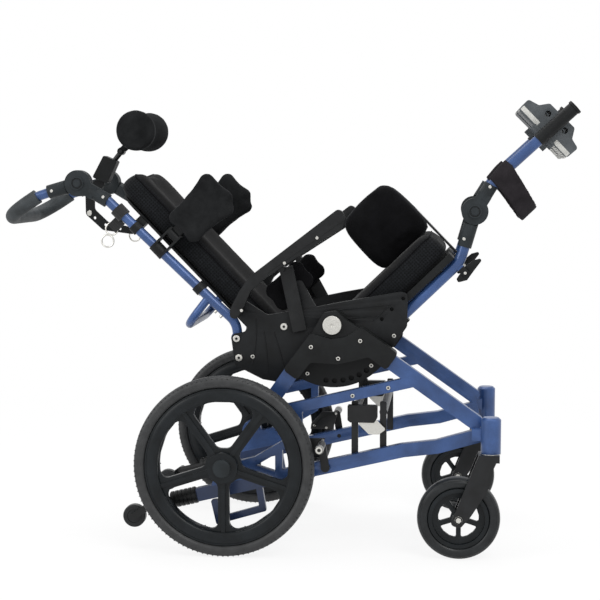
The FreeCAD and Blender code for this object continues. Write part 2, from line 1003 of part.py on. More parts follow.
def save_base():
    frame = make_side_frame()
    save_sides("side_frame", frame)
    cover = make_cover()
    save("rocker_covers", [cover, mirrored(cover)])
    bolts = [make_pivot_bolt()] + make_frame_screws()
    save("frame_bolts", bolts + [mirrored(bolt) for bolt in bolts])
    save("cross_brace", make_brace())
    latch = make_brace_latch()
    save("brace_latch", latch + [mirrored(piece) for piece in latch])
    axle = make_rear_axle()
    save("rear_axles", [axle, mirrored(axle)])
    lever = make_tipping_lever()
    save("tipping_levers", [lever, mirrored(lever)])
    sleeve = make_tipping_sleeve()
    save("tipping_sleeves", [sleeve, mirrored(sleeve)])


def wheel_windows(count, inner, outer, gap, corner, y_low, y_high):
    # The rounded openings between the spokes of a wheel around the origin.
    openings = []
    half_turn = math.pi / count
    for index in range(count):
        middle = 2 * math.pi * index / count + math.pi / 2
        points = []
        for ring, share in window_corners:
            radius = (inner, outer)[ring]
            spread = half_turn - math.asin(gap / 2 / radius)
            angle = middle + share * spread
            points.append((radius * math.cos(angle), radius * math.sin(angle)))
        openings.append(plate(points, corner, y_low, y_high))
    return openings


def make_rear_tyre():
    # A treaded section turned around the hub: flat crown, round shoulders.
    inner = rear_radius - tyre_deep
    half = tyre_wide / 2
    points = [
        V(inner, -rim_wide / 2, 0),
        V(rear_radius - tyre_shoulder_deep, -half, 0),
        V(rear_radius - tyre_crown_drop, -half + tyre_shoulder, 0),
        V(rear_radius, 0, 0),
        V(rear_radius - tyre_crown_drop, half - tyre_shoulder, 0),
        V(rear_radius - tyre_shoulder_deep, half, 0),
        V(inner, rim_wide / 2, 0),
    ]
    edges = [
        Part.LineSegment(points[0], points[1]).toShape(),
        Part.LineSegment(points[1], points[2]).toShape(),
        Part.Arc(points[2], points[3], points[4]).toShape(),
        Part.LineSegment(points[4], points[5]).toShape(),
        Part.LineSegment(points[5], points[6]).toShape(),
        Part.LineSegment(points[6], points[0]).toShape(),
    ]
    section = Part.Face(Part.Wire(edges))
    tyre = section.revolve(V(0, 0, 0), V(0, 1, 0), 360)
    tyre.translate(V(0, wheel_y, rear_axle_z))
    return tyre


def make_rear_wheel():
    # A five-spoke moulded wheel: rim, web with windows, ribs, hub and cap.
    centre = (0, 0)
    rim_outer = rear_radius - tyre_deep
    rim_inner = rim_outer - rim_deep
    rim = across(centre, -rim_wide / 2, rim_wide / 2, rim_outer)
    rim = rim.cut(across(centre, -rim_wide, rim_wide, rim_inner))
    web = across(centre, -web_thick / 2, web_thick / 2, rim_inner + web_lap)
    window_inner = hub_radius + window_round / 2
    for opening in wheel_windows(
        spoke_count, window_inner, rim_inner, spoke_wide, window_round, -web_thick, web_thick
    ):
        web = web.cut(opening)
    hub = across(centre, -hub_wide / 2, hub_wide / 2, hub_radius)
    pieces = [rim, web, hub]
    for index in range(spoke_count):
        rib = block(
            0,
            rim_inner + web_lap,
            -web_thick / 2 - spoke_rib_high,
            web_thick / 2 + spoke_rib_high,
            -spoke_rib_wide / 2,
            spoke_rib_wide / 2,
        )
        rib.rotate(V(0, 0, 0), V(0, 1, 0), 90 + 360 * index / spoke_count)
        pieces.append(rib)
    wheel = fuse(pieces)
    wheel = wheel.cut(across(centre, -hub_wide, hub_wide, axle_radius + running_fit))
    cap_start = hub_wide / 2 + running_fit
    cap = across(centre, hub_wide / 2, cap_start + axle_head_long + cap_high, cap_radius)
    hollow_end = cap_start + axle_head_long + running_fit
    hollow = across(centre, hub_wide / 2 - cut_over, hollow_end, axle_head_radius + axle_head_room)
    wheel = wheel.fuse(cap.cut(hollow))
    wheel.translate(V(0, wheel_y, rear_axle_z))
    return wheel


def make_fork():
    # A crown under the barrel with two slanted blades, and the axle bolt between them.
    hub = V(caster_x - caster_trail, caster_y, caster_radius)
    inner = caster_hub_wide / 2 + fork_gap
    outer = inner + fork_thick
    crown_top = barrel_low - running_fit
    crown_low = crown_top - crown_high
    crown = block(
        caster_x - crown_rear,
        caster_x + crown_front,
        caster_y - outer,
        caster_y + outer,
        crown_low,
        crown_top,
    )
    blade_points = [(caster_x + x, crown_top + z) for x, z in fork_upper]
    blade_points += [(hub.x + x, hub.z + z) for x, z in fork_lower]
    pieces = [crown]
    for low in (caster_y - outer, caster_y + inner):
        pieces.append(plate(blade_points, fork_round, low, low + fork_thick))
    stem_end = barrel_high - stem_top_gap
    pieces.append(
        cylinder(V(caster_x, caster_y, crown_low), V(caster_x, caster_y, stem_end), stem_radius)
    )
    fork = fuse(pieces)
    at = (hub.x, hub.z)
    fork = fork.cut(across(at, caster_y - outer - cut_over, caster_y + outer + cut_over, caster_axle_radius))
    bolt = across(at, caster_y - outer, caster_y + outer, caster_axle_radius)
    near_head = across(at, caster_y + outer, caster_y + outer + screw_high, fork_bolt_head)
    far_head = across(at, caster_y - outer - screw_high, caster_y - outer, fork_bolt_head)
    return [fork, bolt.fuse(near_head).fuse(far_head)]


def make_caster_tyre():
    # A solid rubber ring with a round crown.
    inner = caster_radius - caster_tyre_deep
    half = caster_wide / 2
    points = [
        V(inner, -half + caster_tyre_taper, 0),
        V(caster_radius - caster_tyre_round, -half, 0),
        V(caster_radius, 0, 0),
        V(caster_radius - caster_tyre_round, half, 0),
        V(inner, half - caster_tyre_taper, 0),
    ]
    edges = [
        Part.LineSegment(points[0], points[1]).toShape(),
        Part.Arc(points[1], points[2], points[3]).toShape(),
        Part.LineSegment(points[3], points[4]).toShape(),
        Part.LineSegment(points[4], points[0]).toShape(),
    ]
    section = Part.Face(Part.Wire(edges))
    tyre = section.revolve(V(0, 0, 0), V(0, 1, 0), 360)
    tyre.translate(V(caster_x - caster_trail, caster_y, caster_radius))
    return tyre


def make_caster_hub():
    # A moulded caster centre: rim, web with tapered windows, hub and bore.
    centre = (0, 0)
    rim_outer = caster_radius - caster_tyre_deep
    half = caster_wide / 2 - caster_rim_inset
    rim = across(centre, -half, half, rim_outer)
    rim = rim.cut(across(centre, -caster_wide, caster_wide, rim_outer - caster_rim_deep))
    web = across(centre, -caster_web_thick / 2, caster_web_thick / 2, rim_outer - caster_rim_deep / 2)
    for opening in wheel_windows(
        caster_spoke_count,
        caster_window_inner,
        caster_window_outer,
        caster_window_gap,
        caster_window_round,
        -caster_web_thick,
        caster_web_thick,
    ):
        web = web.cut(opening)
    hub = across(centre, -caster_hub_wide / 2, caster_hub_wide / 2, caster_hub_radius)
    wheel = fuse([rim, web, hub])
    wheel = wheel.cut(across(centre, -caster_wide, caster_wide, caster_axle_radius + running_fit))
    wheel.translate(V(caster_x - caster_trail, caster_y, caster_radius))
    return wheel


def make_tip_arm():
    # The sliding anti-tip rod, with an offset cheek and the pin of its roller.
    rod_end = V(tip_wheel_x + tip_wheel_radius + tip_link_wide / 2, rail_y, 0)
    rod_end.z = level_at(rod_end.x, lower_rail_rear, lever_end)
    rod = cylinder(along_lever(tip_rod_share), rod_end, tip_rod_radius)
    inner = rail_y + tip_wheel_wide / 2 + fork_gap
    outer = inner + tip_link_thick
    link = rail(
        [(rod_end.x, rod_end.z), (tip_wheel_x, tip_wheel_z)],
        tip_link_wide,
        inner,
        outer,
        tip_link_edge,
    )
    bridge = across((rod_end.x, rod_end.z), rail_y, outer, tip_link_wide / 2)
    end = across((tip_wheel_x, tip_wheel_z), inner, outer, tip_link_wide / 2)
    pin = across(
        (tip_wheel_x, tip_wheel_z),
        rail_y - tip_wheel_wide / 2,
        outer,
        tip_wheel_bore - running_fit,
    )
    return fuse([rod, link, bridge, end, pin])


def make_tip_wheel():
    # The anti-tip roller, with rounded rims.
    centre = (tip_wheel_x, tip_wheel_z)
    half = tip_wheel_wide / 2
    wheel = across(centre, rail_y - half, rail_y + half, tip_wheel_radius)
    rims = [edge for edge in wheel.Edges if edge.Length > math.pi * tip_wheel_radius]
    wheel = wheel.makeFillet(tip_wheel_edge, rims)
    bore = across(centre, rail_y - tip_wheel_wide, rail_y + tip_wheel_wide, tip_wheel_bore)
    return wheel.cut(bore)


def make_wheel_lock():
    # An arm that turns on a pin in the lower rail, with a press bar in front of the tyre.
    inner = rail_outer_y + lock_plate_gap
    outer = inner + lock_plate_thick
    pivot = (lock_x, rail_level(lock_x))
    bar_at = (lock_bar_x, lock_bar_z)
    arm = rail([pivot, bar_at], lock_arm_wide, inner, outer, lock_pin_radius)
    pin = across(pivot, rail_inner_y, outer, lock_pin_radius)
    boss = across(pivot, rail_outer_y + running_fit, outer, lock_boss_radius)
    press = across(bar_at, inner, wheel_y + lock_bar_overhang, lock_bar_radius)
    return fuse([arm, pin, boss, press])


def save_wheels():
    save_sides("rear_tyre", make_rear_tyre())
    save_sides("rear_wheel", make_rear_wheel())
    fork, bolt = make_fork()
    save("caster_fork_left", [fork, bolt])
    save("caster_fork_right", [mirrored(fork), mirrored(bolt)])
    save_sides("caster_tyre", make_caster_tyre())
    save_sides("caster_hub", make_caster_hub())
    save_sides("anti_tip_arm", make_tip_arm())
    save_sides("anti_tip_wheel", make_tip_wheel())
    save_sides("wheel_lock", make_wheel_lock())


def make_seat_plate():
    # A moulded side plate with a socket block for the leg hanger's tube.
    body = plate(plate_points, plate_round, plate_inner_y, plate_outer_y)
    socket = block(socket_rear, socket_front, socket_inner_y, plate_inner_y, socket_low, pan_low)
    tab_outer = plate_inner_y + guard_tab_thick
    tab = rail(list(guard_tab), guard_tab_wide, plate_inner_y, tab_outer, plate_round)
    whole = fuse([body, socket, tab])
    tube_rear = V(leg_tube_rear, leg_y, leg_tube_z)
    whole = whole.cut(cylinder(tube_rear, V(seat_front, leg_y, leg_tube_z), leg_tube_radius))
    holes = [(point, hole_radius) for point in front_hole_line]
    holes.append(((0, 0), pivot_pin_radius + running_fit))
    holes.append((cane_low, recline_pin_radius + running_fit))
    holes.append((arm_hinge, arm_pin_radius + running_fit))
    for point, radius in holes:
        whole = whole.cut(across(point, plate_inner_y - cut_over, plate_outer_y + cut_over, radius))
    return whole


def make_rocker():
    # A sector with locking holes on a circle around the tilt pivot.
    start = math.radians(rocker_start)
    end = math.radians(rocker_end)
    middle = (start + end) / 2
    rim = [
        V(rocker_radius * math.cos(angle), plate_outer_y, rocker_radius * math.sin(angle))
        for angle in (start, middle, end)
    ]
    arc = Part.Arc(rim[0], rim[1], rim[2]).toShape()
    centre = V(0, plate_outer_y, 0)
    sides = [
        arc,
        Part.LineSegment(rim[2], centre).toShape(),
        Part.LineSegment(centre, rim[0]).toShape(),
    ]
    sector = Part.Face(Part.Wire(sides)).extrude(V(0, rocker_thick, 0))
    hub = across((0, 0), plate_outer_y, rocker_outer_y, rocker_hub_radius)
    rocker = fuse([sector, hub])
    for index in range(rocker_hole_count):
        angle = math.radians(rocker_hole_first + rocker_hole_step * index)
        point = (rocker_hole_circle * math.cos(angle), rocker_hole_circle * math.sin(angle))
        rocker = rocker.cut(
            across(point, plate_outer_y - cut_over, rocker_outer_y + cut_over, rocker_hole_radius)
        )
    bore = across(
        (0, 0), plate_outer_y - cut_over, rocker_outer_y + cut_over, pivot_pin_radius + running_fit
    )
    return rocker.cut(bore)


def make_seat_pan():
    # A deck with turned-down rims between the side plates.
    top = cushion_low - soft_gap
    deck = block(seat_rear, seat_front - pan_rim, -plate_inner_y, plate_inner_y, pan_low, top)
    hollow = block(
        seat_rear + pan_rim,
        seat_front - pan_rim * 2,
        -plate_inner_y + pan_rim,
        plate_inner_y - pan_rim,
        pan_low - cut_over,
        top - pan_deck,
    )
    guide = block(
        guide_rear,
        guide_front,
        -tongue_half - guide_wall,
        tongue_half + guide_wall,
        pan_low - tongue_thick - guide_wall - running_fit * 2,
        top - pan_deck / 2,
    )
    slot = block(
        guide_rear - cut_over,
        guide_front + cut_over,
        -tongue_half - running_fit,
        tongue_half + running_fit,
        pan_low - tongue_thick - running_fit * 2,
        pan_low,
    )
    return deck.cut(hollow).fuse(guide).cut(slot).removeSplitter()


def make_leg_hanger():
    # The tube from under the pan that bends up to the knee.
    end_x, end_z = leg_tube_end
    points = [
        V(leg_tube_rear, leg_y, leg_tube_z),
        V(leg_tube_bend, leg_y, leg_tube_z),
        V(end_x, leg_y, end_z),
    ]
    tube = pipe(points, leg_tube_bend_radius, leg_tube_radius, tube_wall)
    inner = latch_thick / 2 + soft_gap
    ears = []
    for low, high in ((-inner - latch_ear_thick, -inner), (inner, inner + latch_ear_thick)):
        ear = block(
            latch_x - latch_ear_radius,
            latch_x + latch_ear_radius,
            leg_y + low,
            leg_y + high,
            latch_z - latch_ear_drop,
            leg_tube_z,
        )
        ears.append(ear)
    reach = inner + latch_ear_thick / 2
    pin = across((latch_x, latch_z), leg_y - reach, leg_y + reach, latch_pin_radius)
    inside = leg_tube_radius - tube_wall / 2
    core = cylinder(V(leg_tube_rear, leg_y, leg_tube_z), V(seat_front, leg_y, leg_tube_z), inside)
    ears = [ear.cut(core) for ear in ears]
    return fuse([tube, pin] + ears)


def knuckle_half(hinge, sleeve_from, disc_radius, y_low, y_high, sleeve_y, sleeve_radius, sleeve_end):
    # One half of a tube hinge: a disc at the pin, and an arm that grows into a sleeve.
    hinge_x, hinge_z = hinge
    start_x, start_z = sleeve_from
    disc = across(hinge, y_low, y_high, disc_radius)
    run = V(start_x - hinge_x, 0, start_z - hinge_z)
    heading = V(run)
    heading.normalize()
    near = V(hinge_x, sleeve_y, hinge_z) + heading * sleeve_end
    far = V(start_x, sleeve_y, start_z)
    sleeve = cylinder(near, far, sleeve_radius)
    root = near + heading * sleeve_radius
    arm = rail([hinge, (root.x, root.z)], sleeve_radius * 2, y_low, y_high, knuckle_edge)
    return fuse([disc, sleeve, arm])


def make_knee_housing():
    # The fixed half of the knee hinge, on the hanger tube.
    half = knuckle_half(
        (knee_x, knee_z),
        knee_sleeve_start,
        knee_radius,
        leg_y - knee_half_thick,
        leg_y - soft_gap / 2,
        leg_y,
        knee_sleeve_radius,
        knee_radius + soft_gap * 2,
    )
    end_x, end_z = leg_tube_end
    points = [
        V(leg_tube_rear, leg_y, leg_tube_z),
        V(leg_tube_bend, leg_y, leg_tube_z),
        V(end_x, leg_y, end_z),
    ]
    pin_end = leg_y + knee_half_thick - running_fit
    pin = across((knee_x, knee_z), leg_y - knee_half_thick, pin_end, knee_pin_radius)
    return half.cut(bar(points, leg_tube_bend_radius, leg_tube_radius)).fuse(pin)


def make_knee_arm():
    # The moving half of the knee hinge, with its round button.
    half = knuckle_half(
        (knee_x, knee_z),
        knee_arm_end,
        knee_radius,
        leg_y + soft_gap / 2,
        leg_y + knee_half_thick,
        leg_y,
        knee_sleeve_radius,
        knee_radius + soft_gap * 2,
    )
    button = across(
        (knee_x, knee_z),
        leg_y + knee_half_thick,
        leg_y + knee_half_thick + knee_button_high,
        knee_button_radius,
    )
    bore = across(
        (knee_x, knee_z), leg_y - knee_half_thick, leg_y + knee_half_thick, knee_pin_radius + running_fit
    )
    return half.cut(shin_bar(leg_tube_radius)).cut(bore).fuse(button)


def shin_bar(radius):
    # The lower leg tube's outer form at a given radius.
    start_x, start_z = knee_arm_end
    root = V(knee_x, leg_y, knee_z)
    heading = V(start_x - knee_x, 0, start_z - knee_z)
    heading.normalize()
    kink_x, kink_z = shin_kink
    end_x, end_z = shin_end
    points = [
        root + heading * (knee_radius + knee_sleeve_radius),
        V(kink_x, leg_y, kink_z),
        V(end_x, leg_y, end_z),
    ]
    return bar(points, leg_tube_bend_radius, radius)


def make_shin():
    # The lower leg tube.
    return shin_bar(leg_tube_radius).cut(shin_bar(leg_tube_radius - tube_wall))


def on_foot_hinge(low, high, radius):
    # A round bar on a footplate's upright hinge line.
    return cylinder(V(foot_hinge_x, foot_hinge_y, low), V(foot_hinge_x, foot_hinge_y, high), radius)


def make_shin_sleeve():
    # The sleeve and end cap that carry the footplate.
    kink_x, kink_z = shin_kink
    end_x, end_z = shin_end
    kink = V(kink_x, leg_y, kink_z)
    end = V(end_x, leg_y, end_z)
    heading = end - kink
    heading.normalize()
    start = kink + heading * ((shin_sleeve_start - kink_x) / heading.x)
    sleeve = ring(start, end, shin_sleeve_radius, leg_tube_radius)
    cap = cylinder(end, end + heading * shin_cap_long, shin_cap_radius)
    lug = block(
        foot_hinge_x - foot_eye_radius,
        foot_hinge_x + foot_eye_radius,
        foot_hinge_y,
        leg_y,
        foot_lug_low,
        foot_lug_high,
    )
    knuckle = on_foot_hinge(foot_lug_low, foot_lug_high, foot_eye_radius)
    pin = on_foot_hinge(foot_lug_low - foot_eye_long, foot_lug_high + foot_eye_long, foot_pin_radius)
    return fuse([sleeve, cap, lug, knuckle, pin]).cut(cylinder(start, end, leg_tube_radius))


def make_calf_strap():
    # A wide padded band slung under the calves, with a loop round each leg tube. Its side
    # view leans back towards the bottom.
    outer = leg_y + leg_tube_radius + soft_gap + strap_thick
    inner = outer - strap_thick
    rear = min(x for x, z in strap_points)
    front = max(x for x, z in strap_points)
    band = sling(rear, front, outer, strap_low, strap_hang, strap_round)
    inner_round = strap_round - strap_thick
    inside = sling(rear, front, inner, strap_low + strap_thick, strap_hang + cut_over, inner_round)
    loops = shin_bar(leg_tube_radius + soft_gap + strap_thick)
    whole = band.cut(inside).multiFuse([loops, mirrored(loops)])
    hole = shin_bar(leg_tube_radius + soft_gap)
    whole = whole.cut(hole).cut(mirrored(hole))
    whole = whole.common(plate(strap_points, strap_corner, -outer - cut_over, outer + cut_over))
    return whole.removeSplitter()


def sling(x_low, x_high, half, low, high, radius):
    # A hanging U-shaped body with round lower corners, carried along X.
    quarter = radius * math.cos(math.pi / 4)
    edges = []
    left = V(x_low, -half, 0)
    right = V(x_low, half, 0)
    floor = V(0, 0, low)
    ends = [
        left + V(0, 0, high),
        left + floor + V(0, 0, radius),
        left + floor + V(0, radius, 0),
        right + floor - V(0, radius, 0),
        right + floor + V(0, 0, radius),
        right + V(0, 0, high),
    ]
    left_crest = left + floor + V(0, radius - quarter, radius - quarter)
    right_crest = right + floor + V(0, quarter - radius, radius - quarter)
    edges.append(Part.LineSegment(ends[0], ends[1]).toShape())
    edges.append(Part.Arc(ends[1], left_crest, ends[2]).toShape())
    edges.append(Part.LineSegment(ends[2], ends[3]).toShape())
    edges.append(Part.Arc(ends[3], right_crest, ends[4]).toShape())
    edges.append(Part.LineSegment(ends[4], ends[5]).toShape())
    edges.append(Part.LineSegment(ends[5], ends[0]).toShape())
    return Part.Face(Part.Wire(edges)).extrude(V(x_high - x_low, 0, 0))


def make_footplate():
    # A moulded foot support, thick at toe and heel, that hinges on the sleeve's lug.
    body = plate(foot_points, foot_round, foot_inner_y, foot_outer_y)
    for point in foot_holes:
        hole_end = foot_outer_y + cut_over
        body = body.cut(across(point, foot_inner_y - cut_over, hole_end, foot_hole_radius))
    face = foot_points[0][0]
    for low, high in (
        (foot_lug_low - foot_eye_long, foot_lug_low - soft_gap),
        (foot_lug_high + soft_gap, foot_lug_high + foot_eye_long),
    ):
        eye = on_foot_hinge(low, high, foot_eye_radius)
        arm = block(
            foot_hinge_x,
            face + foot_eye_radius,
            foot_hinge_y - foot_arm_inset,
            foot_hinge_y,
            low,
            high,
        )
        bore = on_foot_hinge(low - cut_over, high + cut_over, foot_pin_radius + running_fit)
        body = fuse([body, eye, arm]).cut(bore)
    return body


def make_latch():
    # A hooked release lever on a pin under the hanger tube.
    low = leg_y - latch_thick / 2
    high = leg_y + latch_thick / 2
    lever = plate(latch_points, latch_round, low, high)
    bore = across((latch_x, latch_z), low - cut_over, high + cut_over, latch_pin_radius + running_fit)
    return lever.cut(bore)


def make_pommel_bracket():
    # An angle that slides under the pan and stands up in front of the cushion.
    face = seat_front + soft_gap * 2
    front = face + tongue_thick
    low = pan_low - tongue_thick
    upright = block(face, front, -tongue_half, tongue_half, low, tongue_high)
    tongue = block(
        face - tongue_long,
        front,
        -tongue_half,
        tongue_half,
        low - running_fit,
        pan_low - running_fit,
    )
    return fuse([upright, tongue, make_pommel_insert()])


def make_pommel_insert():
    # The bracket's plate that sits inside the pad.
    face = seat_front + soft_gap * 2
    return block(
        face - tongue_insert,
        face + tongue_thick,
        -tongue_half,
        tongue_half,
        tongue_insert_level,
        tongue_insert_level + tongue_thick,
    )


def make_seat_bolts():
    # The large bolts and the screws on the outside of one side plate and its rocker.
    heads = []
    for point in large_bolts:
        heads.append(across(point, plate_outer_y, plate_outer_y + large_bolt_high, large_bolt_radius))
    for point in plate_screws:
        heads.append(screw(point, plate_outer_y))
    for point in rocker_screws:
        heads.append(screw(point, rocker_outer_y))
    return heads


def save_seat():
    side = make_seat_plate()
    save("seat_side_plates", [tilted(side), tilted(mirrored(side))])
    rocker = make_rocker()
    save("tilt_rockers", [tilted(rocker), tilted(mirrored(rocker))])
    save("seat_pan", [tilted(make_seat_pan())])
    cushion = pad_between(
        cushion_rear,
        seat_front,
        -cushion_half,
        cushion_half,
        cushion_low,
        cushion_top,
        cushion_round,
        cushion_draw,
        "up",
    )
    save("seat_cushion", [tilted(cushion)])
    hanger = make_leg_hanger()
    save("leg_hanger_tubes", [tilted(hanger), tilted(mirrored(hanger))])
    housing = make_knee_housing()
    save("knee_housings", [tilted(housing), tilted(mirrored(housing))])
    guard_face = plate_inner_y - soft_gap * 2
    guard = side_pad(guard_outline, guard_round, guard_draw, guard_face - guard_thick, guard_face)
    save("hip_guards", [tilted(guard), tilted(mirrored(guard))])
    heads = make_seat_bolts()
    save("seat_bolts", [tilted(head) for head in heads] + [tilted(mirrored(head)) for head in heads])
    pommel = pad_between(
        pommel_rear,
        pommel_front,
        -pommel_half,
        pommel_half,
        pommel_low,
        pommel_high,
        pommel_round,
        pommel_draw,
        "up",
    )
    save("pommel_pad", [tilted(pommel.cut(make_pommel_bracket()))])
    save("pommel_bracket", [tilted(make_pommel_bracket())])
    save_sides("latch_lever", make_latch(), tilted)


def save_legs():
    arm = make_knee_arm()
    save("knee_arms", [tilted(arm), tilted(mirrored(arm))])
    shin = make_shin()
    save("shin_tubes", [tilted(shin), tilted(mirrored(shin))])
    sleeve = make_shin_sleeve()
    save("shin_sleeves", [tilted(sleeve), tilted(mirrored(sleeve))])
    save("calf_strap", [tilted(make_calf_strap())])
    save_sides("footplate", make_footplate(), tilted)


def cane_path():
    # The back tube's centre line, from the recline pin to the handle housing.
    return [V(x, cane_y, z) for x, z in (cane_low, cane_bend_low, cane_bend_high, cane_top)]


def cane_x(level):
    # How far forward the back tube's middle line is at a level on its long straight run.
    share = (level - cane_bend_high[1]) / (cane_top[1] - cane_bend_high[1])
    return cane_bend_high[0] + (cane_top[0] - cane_bend_high[0]) * share


def make_cane():
    # A back tube with its recline pin through the foot.
    tube = pipe(cane_path(), cane_bend_radius, cane_radius, tube_wall)
    pin = across(cane_low, cane_y, plate_outer_y - running_fit, recline_pin_radius)
    eye = across(cane_low, cane_y - cane_radius - soft_gap, plate_inner_y - soft_gap, cane_eye_radius)
    return fuse([tube, eye, pin])


def make_crossbar():
    # A loop behind the canes that ties them together.
    root_x = cane_bend_high[0]
    points = [
        V(root_x, cane_y, crossbar_root),
        V(crossbar_rear, cane_y, crossbar_drop),
        V(crossbar_rear, -cane_y, crossbar_drop),
        V(root_x, -cane_y, crossbar_root),
    ]
    return bar(points, crossbar_bend, crossbar_radius)


def make_back_frame():
    # Both back tubes, and the crossbar that is welded between them.
    cane = make_cane()
    crossbar = make_crossbar()
    low_x, low_z = cane_bend_high
    high_x, high_z = cane_top
    for side in (cane_y, -cane_y):
        crossbar = crossbar.cut(cylinder(V(low_x, side, low_z), V(high_x, side, high_z), cane_radius))
    return [cane, mirrored(cane), crossbar]


def make_cane_straps():
    # A clamp round each back tube, with a tail and two wire rings.
    x = cane_x(clamp_level)
    low = V(x, cane_y, clamp_level - clamp_high / 2)
    high = V(x, cane_y, clamp_level + clamp_high / 2)
    clamp = cylinder(low, high, cane_radius + clamp_wall)
    tail = block(
        x - cane_radius - clamp_tail_long,
        x - cane_radius,
        cane_y - clamp_tail_thick / 2,
        cane_y + clamp_tail_thick / 2,
        clamp_level - clamp_high,
        clamp_level,
    )
    strap = fuse([clamp, tail]).cut(bar(cane_path(), cane_bend_radius, cane_radius))
    ring_x = x - cane_radius - clamp_tail_long
    near_middle = V(ring_x, cane_y, clamp_level - clamp_high / 2)
    low_middle = V(ring_x - low_ring_rear, cane_y, clamp_level - clamp_high)
    rings = [Part.makeTorus(ring_radius, ring_wire, at, V(0, 1, 0)) for at in (near_middle, low_middle)]
    return fuse([strap] + rings)


def make_lateral_bracket(side):
    # A clamp on the back tube with two lugs and the upright pin of a lateral support.
    level = lateral_level
    x = cane_x(level)
    reach = lateral_knuckle_high / 2 + running_fit
    lug = lateral_lug
    clamp_low = V(x, side * cane_y, level - reach - lug)
    clamp_high = V(x, side * cane_y, level + reach + lug)
    inner = side * (cane_y - cane_radius)
    outer = side * (lateral_hinge_y + lateral_knuckle_radius)
    y_low = min(inner, outer)
    y_high = max(inner, outer)
    front = lateral_hinge_x + lateral_knuckle_radius
    upper = block(x, front, y_low, y_high, level + reach, level + reach + lug)
    lower = block(x, front, y_low, y_high, level - reach - lug, level - reach)
    pin = cylinder(
        V(lateral_hinge_x, side * lateral_hinge_y, level - reach - lug / 2),
        V(lateral_hinge_x, side * lateral_hinge_y, level + reach + lug / 2),
        lateral_pin_radius,
    )
    clamp = cylinder(clamp_low, clamp_high, cane_radius + shell_clamp_wall)
    return [clamp, upper, lower, pin]


def make_back_shell():
    # A formed panel behind the cushion, clamped to both canes.
    corners = [
        V(shell_front - shell_thick, -shell_half, shell_low),
        V(shell_front - shell_thick, shell_half, shell_low),
        V(shell_front - shell_thick, shell_half, shell_high),
        V(shell_front - shell_thick, -shell_half, shell_high),
    ]
    panel = Part.Face(rounded_wire(corners, shell_round)).extrude(V(shell_thick, 0, 0))
    pieces = [panel]
    outer = cane_radius + shell_clamp_wall
    for level in shell_clamp_levels:
        for side in (1, -1):
            cane_at = cane_x(level)
            low = V(cane_at, side * cane_y, level - shell_clamp_high / 2)
            high = V(cane_at, side * cane_y, level + shell_clamp_high / 2)
            pieces.append(cylinder(low, high, outer))
            y_near = side * (shell_half - shell_clamp_high)
            y_far = side * cane_y
            pieces.append(
                block(
                    cane_at,
                    shell_front - shell_thick / 2,
                    min(y_near, y_far),
                    max(y_near, y_far),
                    level - shell_clamp_high / 2,
                    level + shell_clamp_high / 2,
                )
            )
    for side in (1, -1):
        pieces.extend(make_lateral_bracket(side))
    shell = fuse(pieces)
    for path in (cane_path(), [V(point.x, -point.y, point.z) for point in cane_path()]):
        shell = shell.cut(bar(path, cane_bend_radius, cane_radius))
    return shell


def make_handle_housing():
    # The fixed half of the handle's hinge, sleeved over the cane's top.
    half = knuckle_half(
        (handle_x, handle_z),
        (cane_top[0], housing_sleeve_low),
        handle_radius,
        cane_y + soft_gap / 2,
        cane_y + handle_half_thick,
        cane_y,
        handle_sleeve_radius,
        handle_radius + soft_gap * 2,
    )
    button = across(
        (handle_x, handle_z),
        cane_y + handle_half_thick,
        cane_y + handle_half_thick + handle_button_high,
        handle_button_radius,
    )
    pin_low = cane_y - handle_half_thick
    pin = across((handle_x, handle_z), pin_low, cane_y + handle_half_thick, handle_pin_radius)
    return half.cut(bar(cane_path(), cane_bend_radius, cane_radius)).fuse(button).fuse(pin)


def handle_bar(radius, start):
    # The push handle's loop, from a side-view start point round to the other side.
    start_x, start_z = start
    kink_x, kink_z = handle_kink
    corner_x, corner_z = handle_corner
    half = [V(start_x, cane_y, start_z), V(corner_x, cane_y, corner_z)]
    if start_x > grip_start[0]:
        half.insert(1, V(kink_x, cane_y, kink_z))
    points = half + [V(point.x, -point.y, point.z) for point in half[::-1]]
    return bar(points, handle_bend, radius)


def make_knuckle():
    # The moving half of the handle's hinge.
    half = knuckle_half(
        (handle_x, handle_z),
        knuckle_end,
        handle_radius,
        cane_y - handle_half_thick,
        cane_y - soft_gap / 2,
        cane_y,
        handle_sleeve_radius,
        handle_radius + soft_gap * 2,
    )
    bore = across(
        (handle_x, handle_z),
        cane_y - handle_half_thick - cut_over,
        cane_y + cut_over,
        handle_pin_radius + running_fit,
    )
    return half.cut(bore)


def make_head_block():
    # The clamp block of the headrest on its curved bracket.
    body = plate(head_block_points, head_block_edge, -head_block_half, head_block_half)
    arm = plate(head_bracket_points, head_bracket_round, -head_bracket_half, head_bracket_half)
    start = V(stem_start[0], 0, stem_start[1])
    end = V(head_joint[0], 0, head_joint[1])
    stem = cylinder(start, end, head_stem_radius + running_fit)
    for point in head_bracket_holes:
        arm = arm.cut(across(point, -head_block_half, head_block_half, head_bracket_hole))
    return fuse([body, arm]).cut(stem)


def make_head_stem():
    # A sliding rod with a cross barrel and pin at its front end.
    start = V(stem_start[0], 0, stem_start[1])
    end = V(head_joint[0], 0, head_joint[1])
    rod = cylinder(start, end, head_stem_radius)
    barrel = across(head_joint, -head_barrel_half, head_barrel_half, head_barrel_radius)
    pin = across(head_joint, -head_mount_half, head_mount_half, head_pin_radius)
    return fuse([rod, barrel, pin])


